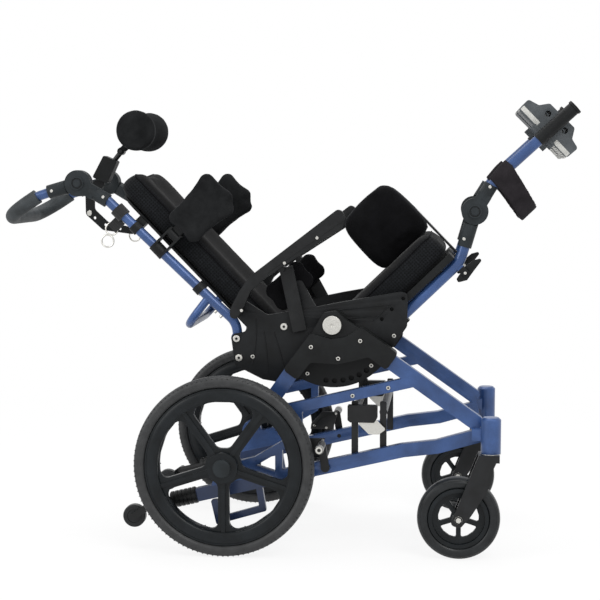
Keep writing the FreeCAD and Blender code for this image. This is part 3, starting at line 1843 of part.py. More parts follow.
def make_head_pad():
    # A curved neck pad: a waisted roll with two full ends that reach forward.
    middle_x, middle_z = head_pad_middle
    sections = []
    for share in head_pad_shares:
        spread = abs(share)
        full = min(1.0, spread / head_pad_full_share)
        grow = head_pad_neck + (head_pad_radius - head_pad_neck) * full
        if spread == 1.0:
            grow = head_pad_radius * head_pad_end_share
        forward = head_wing_forward * spread
        centre = V(middle_x + forward, share * head_pad_half, middle_z)
        sections.append(Part.Wire(Part.makeCircle(grow, centre, V(0, 1, 0))))
    roll = Part.makeLoft(sections, True, False)
    joint_x, joint_z = head_joint
    mount = block(
        joint_x,
        head_mount_front,
        -head_mount_half,
        head_mount_half,
        joint_z - head_mount_high,
        joint_z + head_mount_high,
    )
    ears = across(head_joint, -head_mount_half, head_mount_half, head_mount_high)
    slot = block(
        joint_x - head_mount_high - cut_over,
        joint_x + head_barrel_radius + running_fit,
        -head_barrel_half - running_fit,
        head_barrel_half + running_fit,
        joint_z - head_mount_high - cut_over,
        joint_z + head_mount_high + cut_over,
    )
    bore = across(head_joint, -head_mount_half, head_mount_half, head_pin_radius + running_fit)
    clevis = fuse([mount, ears]).cut(slot).cut(bore)
    return [roll.cut(mount), clevis]


def make_lateral_plate():
    # The arm's plate, which ends inside the pad.
    return block(
        lateral_hinge_x,
        lateral_arm_front,
        lateral_hinge_y - lateral_arm_thick / 2,
        lateral_hinge_y + lateral_arm_thick / 2,
        lateral_level - lateral_knuckle_high / 2,
        lateral_level + lateral_knuckle_high / 2,
    )


def make_lateral_pad():
    # A side cushion round its arm's plate.
    shape = side_pad(lateral_pad_outline, lateral_round, lateral_draw, lateral_inner_y, lateral_outer_y)
    return shape.cut(make_lateral_plate())


def make_lateral_arm():
    # A knuckle on an upright pin, with the plate that carries the pad.
    low = V(lateral_hinge_x, lateral_hinge_y, lateral_level - lateral_knuckle_high / 2)
    high = V(lateral_hinge_x, lateral_hinge_y, lateral_level + lateral_knuckle_high / 2)
    barrel = ring(low, high, lateral_knuckle_radius, lateral_pin_radius + running_fit)
    bore = cylinder(low, high, lateral_pin_radius + running_fit)
    return fuse([barrel, make_lateral_plate()]).cut(bore)


def save_back():
    save("back_frame", [tilted(piece) for piece in make_back_frame()])
    straps = make_cane_straps()
    save("cane_straps", [tilted(straps), tilted(mirrored(straps))])
    save("back_shell", [tilted(make_back_shell())])
    cushion = pad_between(
        shell_front + soft_gap,
        back_front,
        -back_half,
        back_half,
        back_low,
        back_high,
        back_round,
        back_draw,
        "forward",
    )
    save("back_cushion", [tilted(cushion)])
    housing = make_handle_housing()
    save("handle_housings", [tilted(housing), tilted(mirrored(housing))])
    save("headrest_clamp", [tilted(make_head_block())])
    knuckle = make_knuckle()
    knuckle = knuckle.cut(handle_bar(cane_radius, handle_start))
    save("handle_knuckles", [tilted(knuckle), tilted(mirrored(knuckle))])
    loop = handle_bar(cane_radius, handle_start)
    save("handle_tube", [tilted(loop.cut(handle_bar(cane_radius - tube_wall, handle_start)))])
    grip = handle_bar(grip_radius, handle_kink).cut(handle_bar(cane_radius, handle_start))
    save("handle_grip", [tilted(grip)])
    save("headrest_stem", [tilted(make_head_stem())])
    save("headrest_pad", [tilted(piece) for piece in make_head_pad()])
    save_sides("lateral_arm", make_lateral_arm(), tilted)
    save_sides("lateral_pad", make_lateral_pad(), tilted)


def make_armrest():
    # A moulded arm over a narrower channel that hinges at the rear, with a flat post down to
    # the receiver.
    low = arm_y - arm_wide / 2
    high = low + arm_wide
    body = plate(arm_points, arm_round, low, high)
    under = plate(arm_groove_points, tube_wall, low - cut_over, high + cut_over)
    core = block(
        arm_groove_points[0][0] - cut_over,
        arm_groove_points[-1][0] + cut_over,
        low + arm_groove,
        high - arm_groove,
        arm_groove_points[-1][1] - cut_over,
        arm_groove_points[1][1] + cut_over,
    )
    body = body.cut(under.cut(core))
    post_y = plate_outer_y + post_gap
    post = rail([post_top, post_low], post_wide, post_y, post_y + post_thick, post_round)
    bridge = across(post_bridge_at, post_y, low + arm_wide / 2, post_bridge_radius)
    pin = across(arm_hinge, plate_inner_y, low + arm_wide / 2, arm_pin_radius)
    boss = across(arm_hinge, plate_outer_y + soft_gap, low + arm_wide / 2, arm_boss_radius)
    return fuse([body, post, bridge, boss, pin])


def save_arms():
    save_sides("armrest", make_armrest(), tilted)


os.makedirs("parts", exist_ok=True)
save_base()
save_wheels()
save_seat()
save_legs()
save_back()
save_arms()
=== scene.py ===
import bpy
import bmesh
import math
from mathutils import Matrix, Vector
from mathutils.bvhtree import BVHTree


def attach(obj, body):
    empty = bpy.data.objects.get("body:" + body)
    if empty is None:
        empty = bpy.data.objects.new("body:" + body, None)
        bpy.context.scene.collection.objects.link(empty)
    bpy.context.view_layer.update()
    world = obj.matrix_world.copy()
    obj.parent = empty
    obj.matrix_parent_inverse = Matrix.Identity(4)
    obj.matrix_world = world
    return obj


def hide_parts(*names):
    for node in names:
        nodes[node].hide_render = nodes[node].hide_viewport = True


# Special needs stroller at full tilt, its leg rests out.
# Metres in the frame, millimetres in the sizes here; +X forward, +Y to the rider's left, +Z up.

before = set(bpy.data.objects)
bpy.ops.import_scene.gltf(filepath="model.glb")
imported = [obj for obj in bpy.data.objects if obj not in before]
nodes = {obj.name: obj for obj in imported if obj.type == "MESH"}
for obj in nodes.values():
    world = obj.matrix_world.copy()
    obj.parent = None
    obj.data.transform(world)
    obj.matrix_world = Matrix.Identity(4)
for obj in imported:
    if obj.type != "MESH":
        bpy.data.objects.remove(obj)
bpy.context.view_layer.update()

# the seat's own directions lean back with it: forward along the thighs, left, up along the back
seatLean = {"tilt": 44.0, "pivot": (236.0, 514.0), "axleX": -117.0}
seatTurn = Matrix.Rotation(math.radians(-seatLean["tilt"]), 4, "Y")
seatPlace = Matrix.Translation(Vector((seatLean["pivot"][0] + seatLean["axleX"], 0, seatLean["pivot"][1])) / 1000)
seatPlace = seatPlace @ seatTurn
seatBack = seatPlace.inverted()
sides = {"left": 1, "right": -1}


def seatPoint(forward, left, up):
    # millimetres in the upright seat to metres in the leaning one
    return seatPlace @ (Vector((forward, left, up)) / 1000)


def basePoint(x, y, z):
    # millimetres from the rear axle's line on the floor
    return Vector((x + seatLean["axleX"], y, z)) / 1000


def rearCentre(sign):
    return basePoint(0, sign * 270.0, 203.0)


def casterCentre(sign):
    return basePoint(520.5, sign * 238.0, 92.0)


def hexColour(text):
    # sRGB hex to the linear colour that shaders take
    channels = [int(text[i:i + 2], 16) / 255 for i in (0, 2, 4)]
    linear = [c / 12.92 if c <= 0.04045 else ((c + 0.055) / 1.055) ** 2.4 for c in channels]
    return (*linear, 1.0)


def setInputs(tree, node, **values):
    # each input takes a value or another node's output; _0 is the first input
    for name, value in values.items():
        socket = node.inputs[int(name[1:]) if name[0] == "_" else name.replace("_", " ")]
        if isinstance(value, bpy.types.NodeSocket):
            tree.links.new(value, socket)
        else:
            socket.default_value = value


def addNode(tree, kind, settings=None, **inputs):
    node = tree.nodes.new(kind)
    for name, value in (settings or {}).items():
        setattr(node, name, value)
    setInputs(tree, node, **inputs)
    return node


def newMaterial(name):
    # a material, its tree and shader, and the object's own coordinates
    made = bpy.data.materials.new(name)
    made.use_nodes = True
    tree = made.node_tree
    tree.nodes.clear()
    shader = tree.nodes.new("ShaderNodeBsdfPrincipled")
    output = tree.nodes.new("ShaderNodeOutputMaterial")
    tree.links.new(shader.outputs["BSDF"], output.inputs["Surface"])
    place = addNode(tree, "ShaderNodeTexCoord").outputs["Object"]
    return made, tree, shader, place


def noiseOn(tree, place, perMetre, detail, **more):
    noise = addNode(tree, "ShaderNodeTexNoise", Vector=place, Scale=perMetre, Detail=detail, **more)
    return noise.outputs["Fac"]


def rampBetween(tree, factor, low, high, start=0.3, end=0.7):
    # a ramp between two hex colours
    ramp = addNode(tree, "ShaderNodeValToRGB", Fac=factor)
    for element, position, colour in zip(ramp.color_ramp.elements, (start, end), (low, high)):
        element.position = position
        element.color = hexColour(colour)
    return ramp.outputs["Color"]


def spreadValue(tree, factor, low, high, start=0.3, end=0.7):
    spread = addNode(tree, "ShaderNodeMapRange", Value=factor, From_Min=start, From_Max=end, To_Min=low, To_Max=high)
    return spread.outputs["Result"]


def bumpFrom(tree, height, strength, deepMm):
    bump = addNode(tree, "ShaderNodeBump", Strength=strength, Distance=deepMm / 1000, Height=height)
    return bump.outputs["Normal"]


def multiplied(tree, one, other):
    return addNode(tree, "ShaderNodeMath", {"operation": "MULTIPLY"}, _0=one, _1=other).outputs[0]


def paintedTube(name, low, high):
    # metallic powder coat on steel tube: satin with fine flakes, an orange-peel skin and duller patches
    look = {"patchMm": 70.0, "flakeMm": 1.2, "flakeShare": 0.4, "peelMm": 2.4}
    made, tree, shader, place = newMaterial(name)
    patch = noiseOn(tree, place, 1000 / look["patchMm"], 3.0)
    flake = noiseOn(tree, place, 1000 / look["flakeMm"], 1.0)
    mixed = addNode(tree, "ShaderNodeMath", {"operation": "MULTIPLY_ADD"}, _0=flake, _1=look["flakeShare"], _2=patch)
    peel = noiseOn(tree, place, 1000 / look["peelMm"], 2.0)
    setInputs(tree, shader, Base_Color=rampBetween(tree, mixed.outputs[0], low, high, 0.45, 0.95), Metallic=0.3,
              Roughness=spreadValue(tree, patch, 0.3, 0.42), Coat_Weight=0.25, Coat_Roughness=0.15,
              Normal=bumpFrom(tree, peel, 0.1, 0.2))
    return made


def mouldedNylon(name, low, high, roughness, grainMm=0.9, patchMm=35.0, strength=0.25):
    # glass-filled nylon from a textured mould: fine grain and a slightly uneven grey bloom
    made, tree, shader, place = newMaterial(name)
    bloom = noiseOn(tree, place, 1000 / patchMm, 4.0, Roughness=0.6)
    grain = noiseOn(tree, place, 1000 / grainMm, 2.0)
    setInputs(tree, shader, Base_Color=rampBetween(tree, bloom, low, high), Specular_IOR_Level=0.2,
              Roughness=spreadValue(tree, bloom, roughness - 0.06, roughness + 0.06),
              Normal=bumpFrom(tree, grain, strength, 0.3))
    return made


def blackSteel():
    # black powder-coated steel strip and bar: low gloss, with an orange-peel skin
    made, tree, shader, place = newMaterial("blackPowderCoatedSteel")
    skin = noiseOn(tree, place, 700.0, 2.0)
    dust = noiseOn(tree, place, 30.0, 5.0)
    setInputs(tree, shader, Base_Color=rampBetween(tree, dust, "0c0d0e", "191a1c"), Roughness=0.34,
              Normal=bumpFrom(tree, skin, 0.2, 0.2), Specular_IOR_Level=0.3)
    return made


def turnedSteel():
    # zinc-bright steel screws and turned discs: fine turning marks, light warm grey
    made, tree, shader, place = newMaterial("zincBrightSteel")
    brushed = addNode(tree, "ShaderNodeMapping", Vector=place, Scale=(900.0, 60.0, 900.0))
    scratch = noiseOn(tree, brushed.outputs["Vector"], 1.0, 3.0)
    setInputs(tree, shader, Base_Color=rampBetween(tree, scratch, "b4b2ac", "dcdbd6"), Metallic=0.9,
              Roughness=spreadValue(tree, scratch, 0.25, 0.45, 0.0, 1.0), Normal=bumpFrom(tree, scratch, 0.15, 0.2))
    return made


def tyreRubber():
    # pneumatic tyre rubber: neutral charcoal, faintly chalky, with small pores and a low sheen
    look = {"low": "222324", "high": "303132", "chalkMm": 18.0, "poreMm": 1.4}
    made, tree, shader, place = newMaterial("greyTyreRubber")
    chalk = noiseOn(tree, place, 1000 / look["chalkMm"], 5.0)
    pore = noiseOn(tree, place, 1000 / look["poreMm"], 2.0)
    setInputs(tree, shader, Base_Color=rampBetween(tree, chalk, look["low"], look["high"]), Roughness=0.48,
              Normal=bumpFrom(tree, pore, 0.2, 0.3), Specular_IOR_Level=0.4)
    return made


def cushionCover():
    # cushion cover: black spacer mesh with holes 3 mm apart on the sides, smooth stretch cloth on the face
    look = {"ground": "0b0c0d", "yarn": "1e2023", "face": "0c0c0d", "faceHigh": "161617", "holeMm": 3.0}
    made, tree, shader, place = newMaterial("blackCushionCover")
    turned = addNode(tree, "ShaderNodeMapping", Vector=place,
                     Rotation=(0.0, math.radians(seatLean["tilt"]), 0.0))
    waves = []
    for direction in ("X", "Z"):
        wave = addNode(tree, "ShaderNodeTexWave", {"bands_direction": direction}, Vector=turned.outputs["Vector"],
                       Scale=math.pi * 1000 / look["holeMm"] / 20, Distortion=0.0)
        waves.append(wave.outputs["Fac"])
    net = addNode(tree, "ShaderNodeMath", {"operation": "MAXIMUM"}, _0=waves[0], _1=waves[1])
    fuzz = noiseOn(tree, place, 260.0, 3.0)
    both = multiplied(tree, net.outputs[0], fuzz)
    meshColour = rampBetween(tree, both, look["ground"], look["yarn"], 0.2, 0.65)
    faceColour = rampBetween(tree, noiseOn(tree, place, 22.0, 5.0), look["face"], look["faceHigh"])
    share = addNode(tree, "ShaderNodeAttribute", {"attribute_name": "sideShare"}).outputs["Fac"]
    colour = addNode(tree, "ShaderNodeMix", {"data_type": "RGBA"}, _0=share, _6=faceColour, _7=meshColour)
    height = addNode(tree, "ShaderNodeMix", {"data_type": "FLOAT"}, _0=share, _2=fuzz, _3=both)
    setInputs(tree, shader, Base_Color=colour.outputs[2], Roughness=0.9, Sheen_Weight=0.06, Sheen_Roughness=0.5,
              Normal=bumpFrom(tree, height.outputs[0], 0.5, 0.8), Specular_IOR_Level=0.1)
    return made


def velourCloth(name, low, high, sheen):
    # brushed velour: very dark in the pile, with a soft grey sheen where it turns away
    made, tree, shader, place = newMaterial(name)
    nap = noiseOn(tree, place, 26.0, 6.0, Roughness=0.65)
    pile = noiseOn(tree, place, 620.0, 2.0)
    setInputs(tree, shader, Base_Color=rampBetween(tree, nap, low, high), Roughness=0.95, Sheen_Weight=sheen,
              Sheen_Roughness=0.35, Sheen_Tint=hexColour("8c8f94"), Normal=bumpFrom(tree, pile, 0.5, 0.6),
              Specular_IOR_Level=0.08)
    return made


def hookTape(name, low, high):
    # hook-and-loop tape: a fine rib across the weave, fuzzy and dull
    made, tree, shader, place = newMaterial(name)
    rib = addNode(tree, "ShaderNodeTexWave", {"bands_direction": "DIAGONAL"}, Vector=place, Scale=90.0,
                  Distortion=0.6)
    both = multiplied(tree, rib.outputs["Fac"], noiseOn(tree, place, 420.0, 3.0))
    setInputs(tree, shader, Base_Color=rampBetween(tree, both, low, high, 0.1, 0.6), Roughness=0.85,
              Sheen_Weight=0.15, Normal=bumpFrom(tree, both, 0.4, 0.5))
    return made


def plainRubber(name, low, high, roughness):
    # soft moulded rubber or foam skin: even, dull, with a fine dusty skin
    made, tree, shader, place = newMaterial(name)
    skin = noiseOn(tree, place, 900.0, 3.0)
    dust = noiseOn(tree, place, 45.0, 4.0)
    setInputs(tree, shader, Base_Color=rampBetween(tree, dust, low, high), Roughness=roughness,
              Normal=bumpFrom(tree, skin, 0.3, 0.3), Specular_IOR_Level=0.3)
    return made


finishes = {
    "blue": paintedTube("blueMetallicPowderCoat", "1d355d", "37568c"),
    # a darker copy of the blue powder coat: painted shade for the low tipping levers
    "shadedBlue": paintedTube("bluePowderCoatPaintedShade", "1b2945", "2e4066"),
    "cover": mouldedNylon("blackMouldedNylon", "0a0b0c", "151718", 0.5),
    "plate": mouldedNylon("blackRibbedNylonPlate", "0d0e0f", "17191b", 0.46, grainMm=1.2),
    "wheel": mouldedNylon("charcoalMouldedNylon", "0f1214", "191d20", 0.34, grainMm=0.7),
    "hinge": mouldedNylon("slateMouldedNylon", "1a1e20", "272c2f", 0.55, grainMm=1.1),
    "foot": mouldedNylon("greyMouldedNylon", "3d4144", "525659", 0.5, grainMm=1.1),
    "armrest": mouldedNylon("blackSkinnedFoam", "131415", "1f2021", 0.4, grainMm=1.6, strength=0.4),
    "blackSteel": blackSteel(),
    "steel": turnedSteel(),
    "tyre": tyreRubber(),
    "casterTyre": plainRubber("blackCasterRubber", "121416", "1f2224", 0.36),
    "grip": plainRubber("blackFoamGrip", "25292b", "383d40", 0.6),
    "sleeve": plainRubber("blackSleeveRubber", "0c0d0e", "191b1c", 0.42),
    "toeRubber": plainRubber("greyRibbedRubber", "aaaaa6", "cacac5", 0.6),
    "cushion": cushionCover(),
    "velour": velourCloth("blackVelour", "070708", "101012", 0.2),
    "brushed": velourCloth("charcoalBrushedCloth", "141516", "232425", 0.12),
    "strapCloth": velourCloth("charcoalStrapCloth", "1b191b", "2b282b", 0.1),
    "tape": hookTape("blackHookTape", "0b0b0c", "1b1b1c"),
}
print("materials made:", len(finishes))

nodeFinish = {
    # the tipping levers take the darker blue, painted shade
    "tipping_levers": "shadedBlue", "back_frame": "blue", "handle_tube": "blue", "leg_hanger_tubes": "blue",
    "shin_tubes": "blue", "tilt_rockers": "cover", "seat_pan": "cover", "back_shell": "cover",
    "shin_sleeves": "cover", "brace_latch": "blackSteel", "headrest_stem": "blackSteel", "frame_bolts": "steel",
    "rear_axles": "steel", "seat_bolts": "steel", "handle_grip": "grip", "tipping_sleeves": "sleeve",
    "pommel_bracket": "blackSteel", "cross_brace": "blackSteel", "rocker_covers": "cover",
    "seat_side_plates": "plate", "headrest_clamp": "cover", "knee_housings": "hinge", "knee_arms": "hinge",
    "handle_housings": "hinge", "handle_knuckles": "hinge",
}
for side in sides:
    nodeFinish.update({
        "side_frame_" + side: "blue", "lateral_arm_" + side: "cover", "rear_wheel_" + side: "wheel",
        "caster_hub_" + side: "wheel", "footplate_" + side: "foot", "armrest_" + side: "armrest",
        "latch_lever_" + side: "cover", "wheel_lock_" + side: "blackSteel", "caster_fork_" + side: "blackSteel",
        "anti_tip_arm_" + side: "blackSteel", "rear_tyre_" + side: "tyre", "caster_tyre_" + side: "casterTyre",
        "anti_tip_wheel_" + side: "casterTyre",
    })
for name, finish in nodeFinish.items():
    nodes[name].data.materials.clear()
    nodes[name].data.materials.append(finishes[finish])
print("CAD nodes finished:", len(nodeFinish))


def smoothByAngle(mesh, degrees=35.0):
    # round faces shade smooth, and edges sharper than this stay crisp
    form = bmesh.new()
    form.from_mesh(mesh)
    limit = math.radians(degrees)
    for face in form.faces:
        face.smooth = True
    for edge in form.edges:
        edge.smooth = len(edge.link_faces) != 2 or edge.calc_face_angle(0.0) < limit
    form.to_mesh(mesh)
    form.free()


def dress(piece, finish, body, instead=()):
    # a piece's material, the body it rides on, and the CAD nodes it stands for
    piece.data.materials.clear()
    piece.data.materials.append(finishes[finish])
    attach(piece, body)
    if instead:
        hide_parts(*instead)
    return piece


def newPiece(name, mesh, finish, body, instead=(), smooth=35.0):
    piece = bpy.data.objects.new(name, mesh)
    bpy.context.collection.objects.link(piece)
    if smooth:
        smoothByAngle(mesh, smooth)
    return dress(piece, finish, body, instead)


def meshFrom(form, name):
    mesh = bpy.data.meshes.new(name)
    form.to_mesh(mesh)
    form.free()
    return mesh


def applyModifiers(piece):
    depsgraph = bpy.context.evaluated_depsgraph_get()
    result = bpy.data.meshes.new_from_object(piece.evaluated_get(depsgraph), depsgraph=depsgraph)
    piece.modifiers.clear()
    piece.data = result
    return result


def nodeCopy(nodeName):
    # a CAD node's mesh with its loose triangles merged
    source = nodes[nodeName]
    form = bmesh.new()
    form.from_mesh(source.data)
    form.transform(source.matrix_world)
    bmesh.ops.remove_doubles(form, verts=form.verts, dist=1e-6)
    bmesh.ops.recalc_face_normals(form, faces=form.faces)
    return form


def addTurned(form, profile, centre, axis, segments, closed=False):
    # a turned shape: (radius, along) pairs in millimetres around an axis
    axis = Vector(axis).normalized()
    across = axis.orthogonal().normalized()
    other = axis.cross(across)
    rings = []
    for radius, along in profile:
        ring = []
        for step in range(segments):
            angle = 2 * math.pi * step / segments
            out = across * math.cos(angle) + other * math.sin(angle)
            ring.append(form.verts.new(Vector(centre) + (axis * along + out * radius) / 1000))
        rings.append(ring)
    count = len(rings) if closed else len(rings) - 1
    faces = []
    for index in range(count):
        here, after = rings[index], rings[(index + 1) % len(rings)]
        for step in range(segments):
            following = (step + 1) % segments
            faces.append(form.faces.new((here[step], here[following], after[following], after[step])))
    if not closed:
        for ring, radius in ((rings[0], profile[0][0]), (rings[-1], profile[-1][0])):
            if radius > 0:
                faces.append(form.faces.new(ring))
    return faces


def addPrism(form, outline, low, high, place, bevelMm=0.0, segments=2):
    # a flat piece: (forward, up) corners in millimetres between two left positions
    lower = [form.verts.new(place(x, low, z)) for x, z in outline]
    upper = [form.verts.new(place(x, high, z)) for x, z in outline]
    faces = [form.faces.new(lower), form.faces.new(upper[::-1])]
    count = len(outline)
    for index in range(count):
        after = (index + 1) % count
        faces.append(form.faces.new((lower[index], upper[index], upper[after], lower[after])))
    if bevelMm:
        edges = list(dict.fromkeys(edge for face in faces for edge in face.edges))
        bmesh.ops.bevel(form, geom=edges, offset=bevelMm / 1000, segments=segments, profile=0.5,
                        affect="EDGES", clamp_overlap=True)
    return faces


def closeForm(form):
    bmesh.ops.remove_doubles(form, verts=form.verts, dist=1e-6)
    bmesh.ops.recalc_face_normals(form, faces=form.faces)


def addPost(form, centre, axis, radiusMm, low, high, edgeMm=0.5, segments=24):
    # a short round or six-sided post with chamfered ends
    flat = radiusMm - edgeMm
    profile = ((flat, low), (radiusMm, low + edgeMm), (radiusMm, high - edgeMm), (flat, high))
    addTurned(form, profile, centre, axis, segments)


def addRing(form, centre, axis, inner, outer, low, high, segments=48):
    # a turned ring, chamfered at its far end
    edge = min(outer - inner, high - low) / 4
    profile = ((inner, low), (outer, low), (outer, high - edge), (outer - edge, high), (inner + edge, high),
               (inner, high - edge))
    addTurned(form, profile, centre, axis, segments, closed=True)


def formPiece(name, form, finish, body, instead=(), smooth=35.0):
    closeForm(form)
    return newPiece(name, meshFrom(form, name), finish, body, instead, smooth)


def looseBoxes(nodeName):
    # the low and high corners of each separate solid in a CAD node
    form = nodeCopy(nodeName)
    boxes = []
    left = set(form.verts)
    for first in form.verts:
        if first not in left:
            continue
        left.remove(first)
        shell = [first]
        for vertex in shell:
            for edge in vertex.link_edges:
                other = edge.other_vert(vertex)
                if other in left:
                    left.remove(other)
                    shell.append(other)
        boxes.append([[pick(v.co[k] for v in shell) for k in range(3)] for pick in (min, max)])
    form.free()
    return boxes


def tubeMesh(name, points, radiusMm, closed=False, sides=3, spline="NURBS"):
    # a round cord or welt along points in metres
    curve = bpy.data.curves.new(name, "CURVE")
    curve.dimensions = "3D"
    curve.bevel_depth = radiusMm / 1000
    curve.bevel_resolution = sides
    curve.use_fill_caps = True
    line = curve.splines.new(spline)
    line.points.add(len(points) - 1)
    for point, place in zip(line.points, points):
        point.co = (*place, 1.0)
    line.use_cyclic_u = closed
    if spline == "NURBS":
        line.order_u = 3
        line.use_endpoint_u = not closed
        line.resolution_u = 4
    holder = bpy.data.objects.new(name + "Path", curve)
    bpy.context.collection.objects.link(holder)
    depsgraph = bpy.context.evaluated_depsgraph_get()
    mesh = bpy.data.meshes.new_from_object(holder.evaluated_get(depsgraph), depsgraph=depsgraph)
    bpy.data.objects.remove(holder)
    form = bmesh.new()
    form.from_mesh(mesh)
    closeForm(form)
    return meshFrom(form, name)


def joinMeshes(name, meshes):
    form = bmesh.new()
    for mesh in meshes:
        form.from_mesh(mesh)
    return meshFrom(form, name)


def repeatShape(name, kind, spots, sizesMm, finish, body, smooth=30.0):
    # one small shape on each (place, turn) spot, by Geometry Nodes
    mesh = bpy.data.meshes.new(name)
    mesh.from_pydata([tuple(place) for place, turn in spots], [], [])
    turns = mesh.attributes.new("turn", "FLOAT_VECTOR", "POINT")
    for item, (place, turn) in zip(turns.data, spots):
        item.vector = turn.to_euler()
    piece = bpy.data.objects.new(name, mesh)
    bpy.context.collection.objects.link(piece)
    tree = bpy.data.node_groups.new(name + "Repeat", "GeometryNodeTree")
    tree.interface.new_socket("Geometry", in_out="INPUT", socket_type="NodeSocketGeometry")
    tree.interface.new_socket("Geometry", in_out="OUTPUT", socket_type="NodeSocketGeometry")
    labels = {}
    for label in ("length", "width", "height"):
        labels[label] = tree.interface.new_socket(label, in_out="INPUT", socket_type="NodeSocketFloat").identifier
    entry = addNode(tree, "NodeGroupInput")
    size = addNode(tree, "ShaderNodeCombineXYZ", X=entry.outputs["length"], Y=entry.outputs["width"],
                   Z=entry.outputs["height"])
    if kind == "block":
        shape = addNode(tree, "GeometryNodeMeshCube")
    elif kind == "dome":
        shape = addNode(tree, "GeometryNodeMeshCone", Vertices=16, Radius_Top=0.3, Radius_Bottom=0.5, Depth=1.0)
    elif kind == "bead":
        shape = addNode(tree, "GeometryNodeMeshIcoSphere", Radius=0.5, Subdivisions=2)
    else:
        shape = addNode(tree, "GeometryNodeMeshCylinder", Vertices=16, Radius=0.5, Depth=1.0)
    turned = addNode(tree, "GeometryNodeInputNamedAttribute", {"data_type": "FLOAT_VECTOR"}, Name="turn")
    spread = addNode(tree, "GeometryNodeInstanceOnPoints", Points=entry.outputs["Geometry"],
                     Instance=shape.outputs["Mesh"], Rotation=turned.outputs["Attribute"], Scale=size.outputs[0])
    real = addNode(tree, "GeometryNodeRealizeInstances", Geometry=spread.outputs["Instances"])
    addNode(tree, "NodeGroupOutput", Geometry=real.outputs["Geometry"])
    modifier = piece.modifiers.new("repeat", "NODES")
    modifier.node_group = tree
    for label, value in zip(("length", "width", "height"), sizesMm):
        modifier[labels[label]] = value / 1000
    smoothByAngle(applyModifiers(piece), smooth)
    return dress(piece, finish, body)


def softEdged(nodeName, pieceName, finish, body, widthMm, segments=2, angle=32.0):
    # a moulded or folded part's copy with its hard edges rounded, in the CAD part's place
    form = nodeCopy(nodeName)
    bmesh.ops.dissolve_limit(form, angle_limit=math.radians(0.8), verts=form.verts, edges=form.edges)
    mesh = meshFrom(form, pieceName)
    piece = bpy.data.objects.new(pieceName, mesh)
    bpy.context.collection.objects.link(piece)
    rounder = piece.modifiers.new("rounder", "BEVEL")
    rounder.limit_method = "ANGLE"
    rounder.angle_limit = math.radians(angle)
    rounder.width = widthMm / 1000
    rounder.segments = segments
    rounder.use_clamp_overlap = True
    smoothByAngle(applyModifiers(piece), 38.0)
    return dress(piece, finish, body, [nodeName])


# soft pieces

def puffPad(nodeName, pieceName, look):
    # foam under cloth: remesh, inflate the cloth, and keep each point near where it began
    piece = bpy.data.objects.new(pieceName, meshFrom(nodeCopy(nodeName), pieceName))
    bpy.context.collection.objects.link(piece)
    remesh = piece.modifiers.new("remesh", "REMESH")
    remesh.mode = "VOXEL"
    remesh.voxel_size = look["voxelMm"] / 1000
    mesh = applyModifiers(piece)
    form = bmesh.new()
    form.from_mesh(mesh)
    form.normal_update()
    for vertex in form.verts:
        vertex.co -= vertex.normal * look["shrinkMm"] / 1000
    form.to_mesh(mesh)
    form.free()
    ease = piece.modifiers.new("ease", "SMOOTH")
    ease.factor = 0.5
    ease.iterations = 4
    mesh = applyModifiers(piece)
    before = [vertex.co.copy() for vertex in mesh.vertices]
    cloth = piece.modifiers.new("cloth", "CLOTH")
    cloth.settings.quality = 5
    cloth.settings.mass = 0.3
    cloth.settings.tension_stiffness = 15
    cloth.settings.compression_stiffness = 15
    cloth.settings.bending_stiffness = 2.0
    cloth.settings.use_pressure = True
    cloth.settings.uniform_pressure_force = look["pressure"]
    cloth.settings.effector_weights.gravity = 0.0
    cloth.point_cache.frame_start = 1
    cloth.point_cache.frame_end = 20
    for step in range(1, 21):
        bpy.context.scene.frame_set(step)
    mesh = applyModifiers(piece)
    bpy.context.scene.frame_set(1)
    cap = look["capMm"] / 1000
    for vertex, start in zip(mesh.vertices, before):
        move = vertex.co - start
        if move.length > cap:
            vertex.co = start + move * (cap / move.length)
    return piece


def shapePad(piece, change):
    # moves each point of a pad by a rule on its place and normal in the upright seat, in millimetres
    form = bmesh.new()
    form.from_mesh(piece.data)
    form.normal_update()
    turn = seatBack.to_3x3()
    for vertex in form.verts:
        spot = (seatBack @ vertex.co) * 1000
        normal = turn @ vertex.normal
        moved = change(spot, normal)
        vertex.co = seatPoint(*moved)
    form.to_mesh(piece.data)
    form.free()


def markSides(piece, face, low=0.55, high=0.8):
    # how far each point belongs to the mesh side panels rather than to the smooth face
    mesh = piece.data
    direction = seatTurn.to_3x3() @ Vector(face)
    share = mesh.attributes.new("sideShare", "FLOAT", "POINT")
    for index, vertex in enumerate(mesh.vertices):
        facing = vertex.normal.dot(direction)
        share.data[index].value = 1.0 - min(1.0, max(0.0, (facing - low) / (high - low)))


def finishPad(piece, nodeName, finish, body, levels=1):
    if levels:
        rounder = piece.modifiers.new("rounder", "SUBSURF")
        rounder.levels = rounder.render_levels = levels
        applyModifiers(piece)
    for face in piece.data.polygons:
        face.use_smooth = True
    dress(piece, finish, body, [nodeName])
    print("pad", piece.name, len(piece.data.vertices), "points")


def surfaceTree(piece):
    mesh = piece.data
    return BVHTree.FromPolygons([v.co for v in mesh.vertices], [p.vertices for p in mesh.polygons])


def weltOn(piece, points, radiusMm, name, finish, body, closed=True):
    # piping laid on a pad's surface along a line of points
    tree = surfaceTree(piece)
    laid = []
    for point in points:
        place, normal, face, away = tree.find_nearest(point)
        laid.append(place + normal * radiusMm * 0.3 / 1000)
    return newPiece(name, tubeMesh(name, laid, radiusMm, closed), finish, body)


